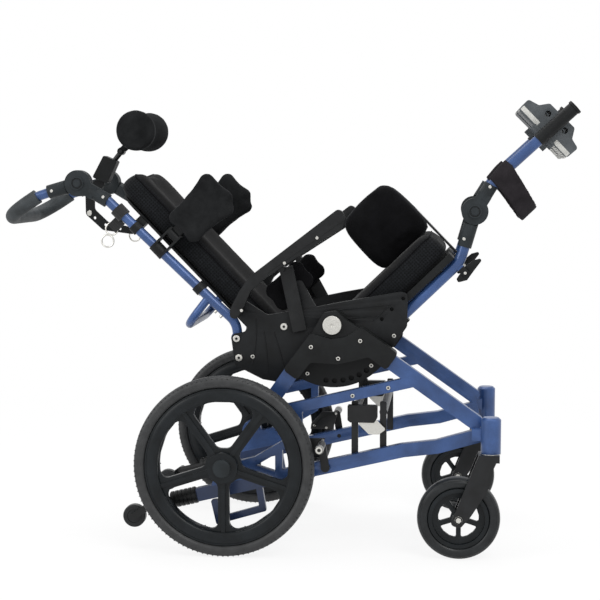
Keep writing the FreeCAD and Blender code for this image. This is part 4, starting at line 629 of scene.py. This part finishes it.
def roundedLoop(lowA, highA, lowB, highB, corner, steps=6, spacing=30.0):
    # points round a rounded rectangle, in millimetres
    points = []
    middles = (((highA - corner), (highB - corner), 0), ((lowA + corner), (highB - corner), 90),
               ((lowA + corner), (lowB + corner), 180), ((highA - corner), (lowB + corner), 270))
    arcs = []
    for a, b, start in middles:
        arcs.append([(a + corner * math.cos(math.radians(start + 90 * k / steps)),
                      b + corner * math.sin(math.radians(start + 90 * k / steps))) for k in range(steps + 1)])
    for index, arc in enumerate(arcs):
        points.extend(arc)
        last, following = arc[-1], arcs[(index + 1) % 4][0]
        run = math.dist(last, following)
        count = int(run / spacing)
        for k in range(1, count):
            points.append((last[0] + (following[0] - last[0]) * k / count,
                           last[1] + (following[1] - last[1]) * k / count))
    return points


seatCushion = {"voxelMm": 6.0, "shrinkMm": 2.0, "pressure": 3.0, "capMm": 4.0, "weltMm": 1.8, "weltUp": -3.0,
               "weltLoop": (-84.0, 300.0, -148.0, 148.0, 24.0)}
pad = puffPad("seat_cushion", "seatCushion", seatCushion)
markSides(pad, (0, 0, 1))
finishPad(pad, "seat_cushion", "cushion", "seat")
loop = roundedLoop(*seatCushion["weltLoop"])
weltOn(pad, [seatPoint(a, b, seatCushion["weltUp"]) for a, b in loop], seatCushion["weltMm"],
       "seatCushionWelt", "velour", "seat")

backCushion = {"voxelMm": 6.0, "shrinkMm": 2.0, "pressure": 3.0, "capMm": 4.0, "weltMm": 1.8, "weltForward": -97.0,
               "weltLoop": (26.0, 573.0, -134.0, 134.0, 30.0), "dishMm": 13.0, "dishHalf": 96.0,
               "dishFoot": (30.0, 60.0), "dishTop": (570.0, 50.0)}
pad = puffPad("back_cushion", "backCushion", backCushion)


def dishBack(spot, normal):
    # the face is dished between two side bolsters
    (foot, rise), (top, fall) = backCushion["dishFoot"], backCushion["dishTop"]
    if normal.x > 0.3 and abs(spot.y) < backCushion["dishHalf"]:
        along = min(1.0, max(0.0, (spot.z - foot) / rise)) * min(1.0, max(0.0, (top - spot.z) / fall))
        spot.x -= backCushion["dishMm"] * along * math.cos(math.pi * spot.y / backCushion["dishHalf"] / 2) ** 2
    return spot


shapePad(pad, dishBack)
markSides(pad, (1, 0, 0))
finishPad(pad, "back_cushion", "cushion", "back")
loop = roundedLoop(*backCushion["weltLoop"])
weltOn(pad, [seatPoint(backCushion["weltForward"], b, a) for a, b in loop], backCushion["weltMm"],
       "backCushionWelt", "velour", "back")

pommelPad = {"voxelMm": 5.0, "shrinkMm": 2.0, "pressure": 3.0, "capMm": 5.0}
pad = puffPad("pommel_pad", "pommelPad", pommelPad)
finishPad(pad, "pommel_pad", "velour", "pommel")

headPad = {"voxelMm": 5.0, "shrinkMm": 2.0, "pressure": 3.0, "capMm": 4.0}
pad = puffPad("headrest_pad", "headrestPad", headPad)
finishPad(pad, "headrest_pad", "brushed", "headrest")

lateralPad = {"voxelMm": 4.0, "shrinkMm": 1.5, "pressure": 3.0, "capMm": 3.0, "bulgeMm": 4.5, "halfMm": 75.0,
              "middle": (-40.0, 394.0)}


def bulge(spot, normal):
    # both faces are fuller in the middle
    reach = math.dist((spot.x, spot.z), lateralPad["middle"]) / lateralPad["halfMm"]
    spot.y += normal.y * lateralPad["bulgeMm"] * max(0.0, 1.0 - reach * reach)
    return spot


for side in sides:
    pad = puffPad("lateral_pad_" + side, "lateralPad_" + side, lateralPad)
    shapePad(pad, bulge)
    finishPad(pad, "lateral_pad_" + side, "brushed", "lateral_" + side)

hipGuard = {"voxelMm": 4.0, "shrinkMm": 1.0, "pressure": 2.0, "capMm": 2.0}
pad = puffPad("hip_guards", "hipGuards", hipGuard)
finishPad(pad, "hip_guards", "velour", "seat")

calfStrap = {"voxelMm": 3.0, "shrinkMm": 0.3, "pressure": 1.0, "capMm": 1.5}
pad = puffPad("calf_strap", "calfStrap", calfStrap)
finishPad(pad, "calf_strap", "strapCloth", "leg_rests", levels=0)

newPiece("caneStraps", meshFrom(nodeCopy("cane_straps"), "caneStraps"), "tape", "back", ["cane_straps"])
print("soft pieces made")

# moulded parts with rounded edges

softEdged("rocker_covers", "rockerCovers", "cover", "base_frame", 3.5, 3)
softEdged("seat_side_plates", "seatSidePlates", "plate", "seat", 1.5)
softEdged("knee_housings", "kneeHousings", "hinge", "seat", 2.0)
softEdged("knee_arms", "kneeArms", "hinge", "leg_rests", 2.0)
softEdged("handle_housings", "handleHousings", "hinge", "back", 2.0)
softEdged("handle_knuckles", "handleKnuckles", "hinge", "push_handle", 2.0)
for side in sides:
    softEdged("armrest_" + side, "armrest_" + side + "_moulded", "armrest", "armrest_" + side + "_body", 4.0, 3)
    softEdged("side_frame_" + side, "sideFrame_" + side, "blue", "base_frame", 3.0, 3)
    softEdged("footplate_" + side, "footplate_" + side + "_moulded", "foot", "footplate_" + side + "_body", 2.5, 3)
    softEdged("latch_lever_" + side, "latchLever_" + side, "cover", "latch_" + side, 1.5)
    softEdged("rear_wheel_" + side, "rearWheel_" + side, "wheel", "rear_wheel_" + side + "_body", 1.6)
    softEdged("caster_hub_" + side, "casterHub_" + side, "wheel", "caster_wheel_" + side, 1.2)
softEdged("frame_bolts", "frameBolts", "steel", "base_frame", 0.9, 3)
softEdged("seat_bolts", "seatBolts", "steel", "seat", 0.9, 3)
print("moulded parts rounded")

# tyres


def makeTyre(kind, look, centre, side, finish, body):
    # a turned tyre, alike on both faces, in the CAD tyre's place
    mirrored = [(radius, -along) for radius, along in look["outline"][::-1]]
    profile = [*look["outline"], (look["crown"], 0.0), *mirrored, (look["bore"], 0.0)]
    form = bmesh.new()
    addTurned(form, profile, centre, (0, 1, 0), look["segments"], closed=True)
    formPiece("%sTyre_%s_%s" % (kind, side, look["ending"]), form, finish, body, ["%s_tyre_%s" % (kind, side)], 50.0)


# the rear tyre has tread grooves, and small skewed lugs on both shoulders
rearTyre = {"outline": ((176.5, -13.0), (179.0, -17.5), (184.0, -20.8), (190.5, -21.8), (196.5, -20.2),
                        (199.6, -17.0), (200.6, -13.6), (199.4, -12.8), (200.9, -12.0), (202.2, -7.0),
                        (201.0, -6.2), (202.4, -5.4)),
            "crown": 202.9, "bore": 175.8, "segments": 144, "ending": "treaded",
            "lugCount": 108, "lugMm": (5.0, 3.0, 2.0), "lugRadius": 198.0, "lugOut": 18.0, "lugLean": 42.0,
            "lugSkew": 18.0}
# the caster's is solid rubber with a moulding groove on each side
casterTyre = {"outline": ((67.2, -12.0), (69.5, -15.0), (73.0, -16.8), (80.0, -18.2), (83.2, -17.9), (84.0, -16.9),
                          (85.0, -17.2), (87.6, -15.4), (88.2, -14.2), (89.2, -14.2), (91.2, -9.5), (91.8, -5.0)),
              "crown": 91.9, "bore": 67.0, "segments": 96, "ending": "moulded"}
for side, sign in sides.items():
    centre = rearCentre(sign)
    rider = "rear_wheel_" + side + "_body"
    makeTyre("rear", rearTyre, centre, side, "tyre", rider)
    spots = []
    for face in (-1, 1):
        for step in range(rearTyre["lugCount"]):
            angle = 2 * math.pi * (step + (0.5 if face > 0 else 0)) / rearTyre["lugCount"]
            out = Vector((math.cos(angle), 0, math.sin(angle)))
            place = centre + (out * rearTyre["lugRadius"] + Vector((0, face * rearTyre["lugOut"], 0))) / 1000
            lean = Matrix.Rotation(math.radians(face * rearTyre["lugLean"]), 3, "Z")
            skew = Matrix.Rotation(math.radians(rearTyre["lugSkew"]), 3, "X")
            spots.append((place, Matrix.Rotation(-angle, 3, "Y") @ lean @ skew))
    repeatShape("rearTyreLugs_" + side, "block", spots, rearTyre["lugMm"], "tyre", rider)
for side, sign in sides.items():
    makeTyre("caster", casterTyre, casterCentre(sign), side, "casterTyre", "caster_wheel_" + side)
print("tyres made")

# footplates: grey ribbed rubber on the two foot blocks of each
footRubber = {"strips": ((60.0, 5.0), (-46.0, -91.0)), "ribs": 8, "front": 632.5, "back": 644.0,
              "ribMm": (4.6, 92.0, 7.0), "left": (20.5, 114.5), "lap": 0.8, "rim": 1.0}
for side, sign in sides.items():
    low, high = sorted(sign * value for value in footRubber["left"])
    front, back, rim = footRubber["front"], footRubber["back"], footRubber["rim"]
    spots = []
    form = bmesh.new()
    for top, bottom in footRubber["strips"]:
        for step in range(footRubber["ribs"]):
            up = top + (bottom - top) * (step + 0.5) / footRubber["ribs"]
            place = seatPoint(front, (low + high) / 2, up)
            spots.append((place, seatTurn.to_3x3() @ Matrix.Rotation(math.radians(90), 3, "Y")))
        outline = ((front, top - rim), (back, top - rim), (back, bottom + rim), (front, bottom + rim))
        addPrism(form, outline, low - footRubber["lap"], high + footRubber["lap"], seatPoint, rim)
    rider = "footplate_" + side + "_body"
    repeatShape("footRibs_" + side, "block", spots, footRubber["ribMm"], "toeRubber", rider)
    formPiece("footRubber_" + side, form, "toeRubber", rider)
print("footplates dressed")

# ribs moulded on the outside of the seat side plates
plateRib = {"radiusMm": 1.3, "out": 168.0,
            "lines": (((24.0, 19.0), (60.0, -10.0), (121.0, -56.0)), ((15.0, -3.0), (62.0, -38.0)),
                      ((68.0, -57.0), (96.0, -57.5), (124.0, -57.7)),
                      ((-200.0, 60.0), (-150.0, 92.0), (-120.0, 130.0)),
                      ((-190.0, 20.0), (-150.0, 60.0), (-128.0, 96.0)),
                      ((-160.0, -10.0), (-130.0, 40.0), (-112.0, 78.0)))}
for side, sign in sides.items():
    meshes = []
    for index, line in enumerate(plateRib["lines"]):
        points = [seatPoint(forward, sign * plateRib["out"], up) for forward, up in line]
        meshes.append(tubeMesh("plateRib%d" % index, points, plateRib["radiusMm"]))
    newPiece("plateRibs_" + side, joinMeshes("plateRibs_" + side, meshes), "plate", "seat")

# bolts: black hexagons on the heads as painted shade in their sockets, and loose heads that hold the hinges and the
# armrests

socket = {"shareOfHead": 0.42, "largestMm": 10.0, "deepMm": 0.6}
for nodeName, body in (("frame_bolts", "base_frame"), ("seat_bolts", "seat")):
    form = bmesh.new()
    for low, high in looseBoxes(nodeName):
        radius = (high[0] - low[0]) / 2 * 1000
        if radius < socket["largestMm"]:
            sign = 1 if low[1] > 0 else -1
            face = high[1] if sign > 0 else low[1]
            centre = ((low[0] + high[0]) / 2, face, (low[2] + high[2]) / 2)
            addPost(form, centre, (0, sign, 0), radius * socket["shareOfHead"], -2.0, socket["deepMm"], 0.2, 6)
    formPiece(nodeName + "_paintedSocketShade", form, "cover", body, smooth=0)

# posts are (radius, low, high, edge) and rings (inner, outer, low, high), in millimetres
hinge = {"ring": (12.2, 15.4, -1.0, 0.9), "hex": (9.6, -1.0, 1.6, 0.5), "grooveShade": (9.6, 12.2, -1.0, 0.25),
         "head": (3.6, -2.5, 1.4, 0.8),
         "buttons": (("knee", (402.6, -37.0), 158.0, "leg_rests"), ("handle", (-205.0, 636.2), 164.0, "back")),
         "screws": (("armrestScrews", "armrest", ((111.9, 163.4), (20.4, 173.4), (-123.7, 163.8)), 217.0),
                    ("kneeScrew", "leg_rests", ((464.1, -20.2),), 155.6),
                    ("hangerScrew", "seat", ((342.9, -64.5),), 155.6),
                    ("handleScrew", "push_handle", ((-260.3, 665.3),), 161.6),
                    ("housingScrew", "back", ((-183.3, 572.0),), 161.6))}
for side, sign in sides.items():
    out = (0, sign, 0)
    for name, spot, face, body in hinge["buttons"]:
        centre = seatPoint(spot[0], sign * face, spot[1])
        form = bmesh.new()
        addRing(form, centre, out, *hinge["ring"])
        addPost(form, centre, out, *hinge["hex"], 6)
        formPiece(name + "Button_" + side, form, "hinge", body)
        # a black ring down in the groove between hex and ring, painted shade
        form = bmesh.new()
        addRing(form, centre, out, *hinge["grooveShade"])
        formPiece(name + "GrooveShade_" + side, form, "cover", body)
    for name, body, spots, face in hinge["screws"]:
        form = bmesh.new()
        for forward, up in spots:
            addPost(form, seatPoint(forward, sign * face, up), out, *hinge["head"])
        rider = "armrest_" + side + "_body" if body == "armrest" else body
        formPiece(name + "_" + side, form, "steel", rider)
print("bolts and hinge buttons made")

# a bright sleeve on the wheel lock's press bar, open at its end
lockRoller = {"at": (214.0, 245.0), "ring": (2.6, 9.35, 267.0, 285.0)}
# bright bolt heads on both ends of the caster's axle
casterHead = {"post": (8.8, 28.5, 31.6, 0.6), "hex": (6.4, 31.0, 33.2, 0.6)}
# a washer under the caster's barrel, and a black cap in a bright ring on top
barrel = {"at": (590.0, 238.0), "washer": (17.0, 22.3, 236.2, 237.6), "ring": (15.2, 17.4, 311.6, 312.9),
          "cap": (15.3, 311.0, 313.4, 1.0)}
# the anti-tip roller's bolt, and a ridge on its side
antiTip = {"at": (-217.5, 200.0, 70.5), "bolt": (4.8, 14.0, 16.6, 0.8), "ridge": (15.0, 18.0, 9.0, 11.4)}
# a folded plate with its bolts and cable inside the side frame, behind the wheel lock
lockPlate = {"outline": ((150.0, 210.0), (152.0, 224.0), (180.0, 254.5), (219.0, 255.0), (207.0, 210.0)),
             "inner": 184.6, "outer": 188.4, "bolts": ((214.0, 250.0), (160.0, 219.0), (190.0, 214.0)),
             "boltMm": 3.2, "boltIn": 0.5, "boltOut": 2.0, "boltEdge": 0.6, "cableIn": 183.0, "cableMm": 1.5,
             "cable": ((158.0, 214.0), (166.0, 232.0), (186.0, 246.0), (212.0, 250.0))}
for side, sign in sides.items():
    out = (0, sign, 0)
    bothWays = ((0, 1, 0), (0, -1, 0))
    form = bmesh.new()
    addRing(form, basePoint(lockRoller["at"][0], 0, lockRoller["at"][1]), out, *lockRoller["ring"], 32)
    formPiece("lockRoller_" + side, form, "steel", "wheel_lock_" + side + "_body")
    form = bmesh.new()
    for way in bothWays:
        addPost(form, casterCentre(sign), way, *casterHead["post"], 32)
        addPost(form, casterCentre(sign), way, *casterHead["hex"], 6)
    formPiece("casterAxleHeads_" + side, form, "steel", "caster_" + side)
    stem = basePoint(barrel["at"][0], sign * barrel["at"][1], 0)
    form = bmesh.new()
    addRing(form, stem, (0, 0, 1), *barrel["washer"])
    addRing(form, stem, (0, 0, 1), *barrel["ring"])
    formPiece("barrelRings_" + side, form, "steel", "base_frame")
    form = bmesh.new()
    addPost(form, stem, (0, 0, 1), *barrel["cap"], 40)
    formPiece("barrelCap_" + side, form, "cover", "base_frame")
    roller = basePoint(antiTip["at"][0], sign * antiTip["at"][1], antiTip["at"][2])
    form = bmesh.new()
    for way in bothWays:
        addPost(form, roller, way, *antiTip["bolt"])
    formPiece("antiTipBolt_" + side, form, "steel", "anti_tip_" + side)
    form = bmesh.new()
    for way in bothWays:
        addRing(form, roller, way, *antiTip["ridge"])
    formPiece("antiTipRidge_" + side, form, "casterTyre", "anti_tip_roller_" + side)
    low, high = sorted(sign * lockPlate[key] for key in ("inner", "outer"))
    form = bmesh.new()
    addPrism(form, lockPlate["outline"], low, high, basePoint, 1.0)
    formPiece("lockPlate_" + side, form, "blackSteel", "base_frame")
    form = bmesh.new()
    for x, z in lockPlate["bolts"]:
        for facing, face in ((sign, lockPlate["outer"]), (-sign, -lockPlate["inner"])):
            addPost(form, basePoint(x, 0, z), (0, facing, 0), lockPlate["boltMm"], face - lockPlate["boltIn"],
                    face + lockPlate["boltOut"], lockPlate["boltEdge"])
    formPiece("lockPlateBolts_" + side, form, "steel", "base_frame")
    cable = [basePoint(x, sign * lockPlate["cableIn"], z) for x, z in lockPlate["cable"]]
    newPiece("lockCable_" + side, tubeMesh("lockCable", cable, lockPlate["cableMm"]), "cover", "base_frame")
print("metal parts of the base made")

# the wheel's full rim, its hub cap and its small inner teeth
rimRing = {"half": ((147.4, -15.0), (148.6, -17.4), (151.5, -19.0), (157.0, -20.4), (164.0, -20.2), (170.0, -18.6),
                    (174.5, -16.2), (175.8, -13.0)), "segments": 96, "cap": (20.4, 24.0, 35.2, 2.0)}
tooth = {"count": 10, "first": 108.0, "radius": 149.5, "sizeMm": (8.0, 3.0, 2.4), "out": 16.4}
for side, sign in sides.items():
    centre = rearCentre(sign)
    rider = "rear_wheel_" + side + "_body"
    form = bmesh.new()
    profile = [*rimRing["half"], *((radius, -along) for radius, along in rimRing["half"][::-1])]
    addTurned(form, profile, centre, (0, 1, 0), rimRing["segments"], closed=True)
    formPiece("rimRing_" + side, form, "wheel", rider, smooth=50.0)
    form = bmesh.new()
    addPost(form, centre, (0, sign, 0), *rimRing["cap"], 48)
    formPiece("hubCap_" + side, form, "hinge", rider)
for side, sign in sides.items():
    centre = rearCentre(sign)
    spots = []
    for step in range(tooth["count"]):
        angle = math.radians(tooth["first"] + 360 * step / tooth["count"])
        out = Vector((math.cos(angle), 0, math.sin(angle)))
        for face in (-1, 1):
            place = centre + (out * tooth["radius"] + Vector((0, face * tooth["out"], 0))) / 1000
            spots.append((place, Matrix.Rotation(-angle, 3, "Y")))
    repeatShape("wheelTeeth_" + side, "block", spots, tooth["sizeMm"], "wheel", "rear_wheel_" + side + "_body")

# dark blind liners behind the rockers' locking holes
liner = {"count": 6, "first": 219.0, "step": 8.6, "radius": 129.0, "post": (8.5, 165.6, 167.9, 0.4)}
form = bmesh.new()
for side, sign in sides.items():
    for step in range(liner["count"]):
        angle = math.radians(liner["first"] + liner["step"] * step)
        spot = seatPoint(liner["radius"] * math.cos(angle), 0, liner["radius"] * math.sin(angle))
        addPost(form, spot, (0, sign, 0), *liner["post"])
formPiece("rockerLiners", form, "cover", "seat")

# the lock between the posts: a black block, and the bright release plates under it
releasePlate = {"inner": 198.5, "outer": 202.5}
blocks, plates = nodeCopy("brace_latch"), nodeCopy("brace_latch")
for form, keepPlate in ((blocks, False), (plates, True)):
    gone = []
    for vertex in form.verts:
        onPlate = releasePlate["inner"] < abs(vertex.co.y) * 1000 < releasePlate["outer"]
        if onPlate != keepPlate:
            gone.append(vertex)
    bmesh.ops.delete(form, geom=gone, context="VERTS")
newPiece("lockBlocks", meshFrom(blocks, "lockBlocks"), "blackSteel", "base_frame", ["brace_latch"])
newPiece("releasePlates", meshFrom(plates, "releasePlates"), "steel", "base_frame")

# black ears and steel pins of the latch levers
ear = {"outline": ((283.7, -126.3), (300.3, -126.3), (300.3, -108.0), (283.7, -108.0)), "inner": 5.6, "outer": 9.8,
       "left": 140.0, "pinAt": (292.0, -122.0), "pin": (3.4, -11.6, 11.6, 0.6)}
for side, sign in sides.items():
    form = bmesh.new()
    for facing in (1, -1):
        low, high = sorted(sign * ear["left"] + facing * ear[key] for key in ("inner", "outer"))
        addPrism(form, ear["outline"], low, high, seatPoint, 0.6)
    formPiece("latchEars_" + side, form, "cover", "seat")
    form = bmesh.new()
    addPost(form, seatPoint(ear["pinAt"][0], sign * ear["left"], ear["pinAt"][1]), (0, 1, 0), *ear["pin"])
    formPiece("latchPin_" + side, form, "steel", "seat")

# headrest: bolts on the bracket and on the joint
headBolts = (("bracketBolt", "back", (-262.9, 591.9), (6.5, 2.5, 5.6, 1.0)),
             ("headrestBolt", "headrest_slider", (-104.0, 643.0), (4.2, 8.0, 10.6, 0.8)))
for name, body, (forward, up), post in headBolts:
    form = bmesh.new()
    for facing in (1, -1):
        addPost(form, seatPoint(forward, 0, up), (0, facing, 0), *post)
    formPiece(name, form, "steel", body)

# wire rings on the cane straps, and small clamps with bolts on the back tubes
wire = {"ringMm": 14.0, "wireMm": 1.9, "sides": 8, "left": 146.0, "spots": ((-222.5, 508.0), (-249.1, 495.0))}
clampBolt = {"left": 148.0, "spots": ((-176.5, 260.0), (-178.5, 205.5), (-177.0, 189.0)),
             "post": (3.4, -4.0, 5.5, 0.8)}
form = bmesh.new()
ring = []
for step in range(wire["sides"]):
    angle = math.radians(360 / wire["sides"] * step)
    ring.append((wire["ringMm"] + wire["wireMm"] * math.cos(angle), wire["wireMm"] * math.sin(angle)))
for side, sign in sides.items():
    for forward, up in wire["spots"]:
        addTurned(form, ring, seatPoint(forward, sign * wire["left"], up), (0, 1, 0), 40, closed=True)
formPiece("strapRings", form, "steel", "back")
form = bmesh.new()
rearward = seatTurn.to_3x3() @ Vector((-1, 0, 0))
for side, sign in sides.items():
    for forward, up in clampBolt["spots"]:
        addPost(form, seatPoint(forward, sign * clampBolt["left"], up), rearward, *clampBolt["post"])
formPiece("caneBolts", form, "steel", "back")
print("small parts of the back made")

# stage, light and camera

stageLook = {"floorSize": 60.0, "floor": "ffffff", "glowNear": 0.86, "nearM": 0.9, "farM": 2.4,
             "worldLight": 0.62, "aim": (0.0, 0.0, 0.5), "lampWatts": 42.0,
             "lamps": (("keyLamp", (1.6, -2.6, 3.0), 2.2, 1.4), ("fillLamp", (-2.6, -2.0, 1.8), 2.0, 0.8),
                       ("topLamp", (0.0, 0.6, 3.4), 2.4, 1.0))}


def makeStage():
    form = bmesh.new()
    bmesh.ops.create_grid(form, x_segments=1, y_segments=1, size=stageLook["floorSize"] / 2)
    mesh = meshFrom(form, "floor")
    floor = bpy.data.objects.new("floor", mesh)
    bpy.context.collection.objects.link(floor)
    made, tree, shader, place = newMaterial("whitePaperSweep")
    setInputs(tree, shader, Base_Color=hexColour(stageLook["floor"]), Roughness=1.0, Specular_IOR_Level=0.0)
    glow = addNode(tree, "ShaderNodeEmission", Color=(1.0, 1.0, 1.0, 1.0), Strength=1.0)
    path = addNode(tree, "ShaderNodeLightPath")
    seen = addNode(tree, "ShaderNodeMath", {"operation": "MAXIMUM"}, _0=path.outputs["Is Camera Ray"],
                   _1=path.outputs["Is Glossy Ray"])
    # the paper goes on to pure white away from the object's faint shadow
    away = addNode(tree, "ShaderNodeVectorMath", {"operation": "LENGTH"}, _0=place)
    fade = spreadValue(tree, away.outputs["Value"], stageLook["glowNear"], 1.0, stageLook["nearM"],
                       stageLook["farM"])
    mix = addNode(tree, "ShaderNodeMixShader", Fac=multiplied(tree, seen.outputs[0], fade),
                  _1=shader.outputs["BSDF"], _2=glow.outputs["Emission"])
    output = [n for n in tree.nodes if n.bl_idname == "ShaderNodeOutputMaterial"][0]
    tree.links.new(mix.outputs["Shader"], output.inputs["Surface"])
    mesh.materials.append(made)


def makeWorld():
    world = bpy.data.worlds.new("studio")
    bpy.context.scene.world = world
    world.use_nodes = True
    tree = world.node_tree
    tree.nodes.clear()
    white = addNode(tree, "ShaderNodeBackground", Color=(1.0, 1.0, 1.0, 1.0), Strength=1.0)
    soft = addNode(tree, "ShaderNodeBackground", Color=(1.0, 1.0, 1.0, 1.0), Strength=stageLook["worldLight"])
    path = addNode(tree, "ShaderNodeLightPath")
    glossy = addNode(tree, "ShaderNodeMath", {"operation": "MAXIMUM"}, _0=path.outputs["Is Camera Ray"],
                     _1=path.outputs["Is Glossy Ray"])
    seen = addNode(tree, "ShaderNodeMath", {"operation": "MAXIMUM"}, _0=glossy.outputs[0],
                   _1=path.outputs["Is Transmission Ray"])
    mix = addNode(tree, "ShaderNodeMixShader", Fac=seen.outputs[0], _1=soft.outputs["Background"],
                  _2=white.outputs["Background"])
    addNode(tree, "ShaderNodeOutputWorld", Surface=mix.outputs["Shader"])


def makeLamps():
    for name, place, size, share in stageLook["lamps"]:
        light = bpy.data.lights.new(name, "AREA")
        light.shape = "DISK"
        light.size = size
        light.energy = stageLook["lampWatts"] * share
        lamp = bpy.data.objects.new(name, light)
        bpy.context.collection.objects.link(lamp)
        lamp.location = place
        away = Vector(stageLook["aim"]) - Vector(place)
        lamp.rotation_euler = away.to_track_quat("-Z", "Y").to_euler()


def makeCamera():
    # the photograph's place: nearly square to the right side, a little above the seat
    view = {"azimuth": 5.93, "elevation": 4.96, "distance": 3.494, "target": (0.0256, 0.0, 0.552), "lens": 88.19}
    around = math.radians(view["azimuth"])
    above = math.radians(view["elevation"])
    back = Vector((math.sin(around) * math.cos(above), -math.cos(around) * math.cos(above), math.sin(above)))
    data = bpy.data.cameras.new("camera")
    data.sensor_width = 36.0
    data.lens = view["lens"]
    data.clip_end = 100.0
    camera = bpy.data.objects.new("camera", data)
    bpy.context.collection.objects.link(camera)
    camera.location = Vector(view["target"]) + back * view["distance"]
    camera.rotation_mode = "QUATERNION"
    camera.rotation_quaternion = (-back).to_track_quat("-Z", "Y")
    bpy.context.scene.camera = camera


makeStage()
makeWorld()
makeLamps()
makeCamera()
bpy.context.scene.view_settings.view_transform = "Standard"
print("stage, lamps and camera made")
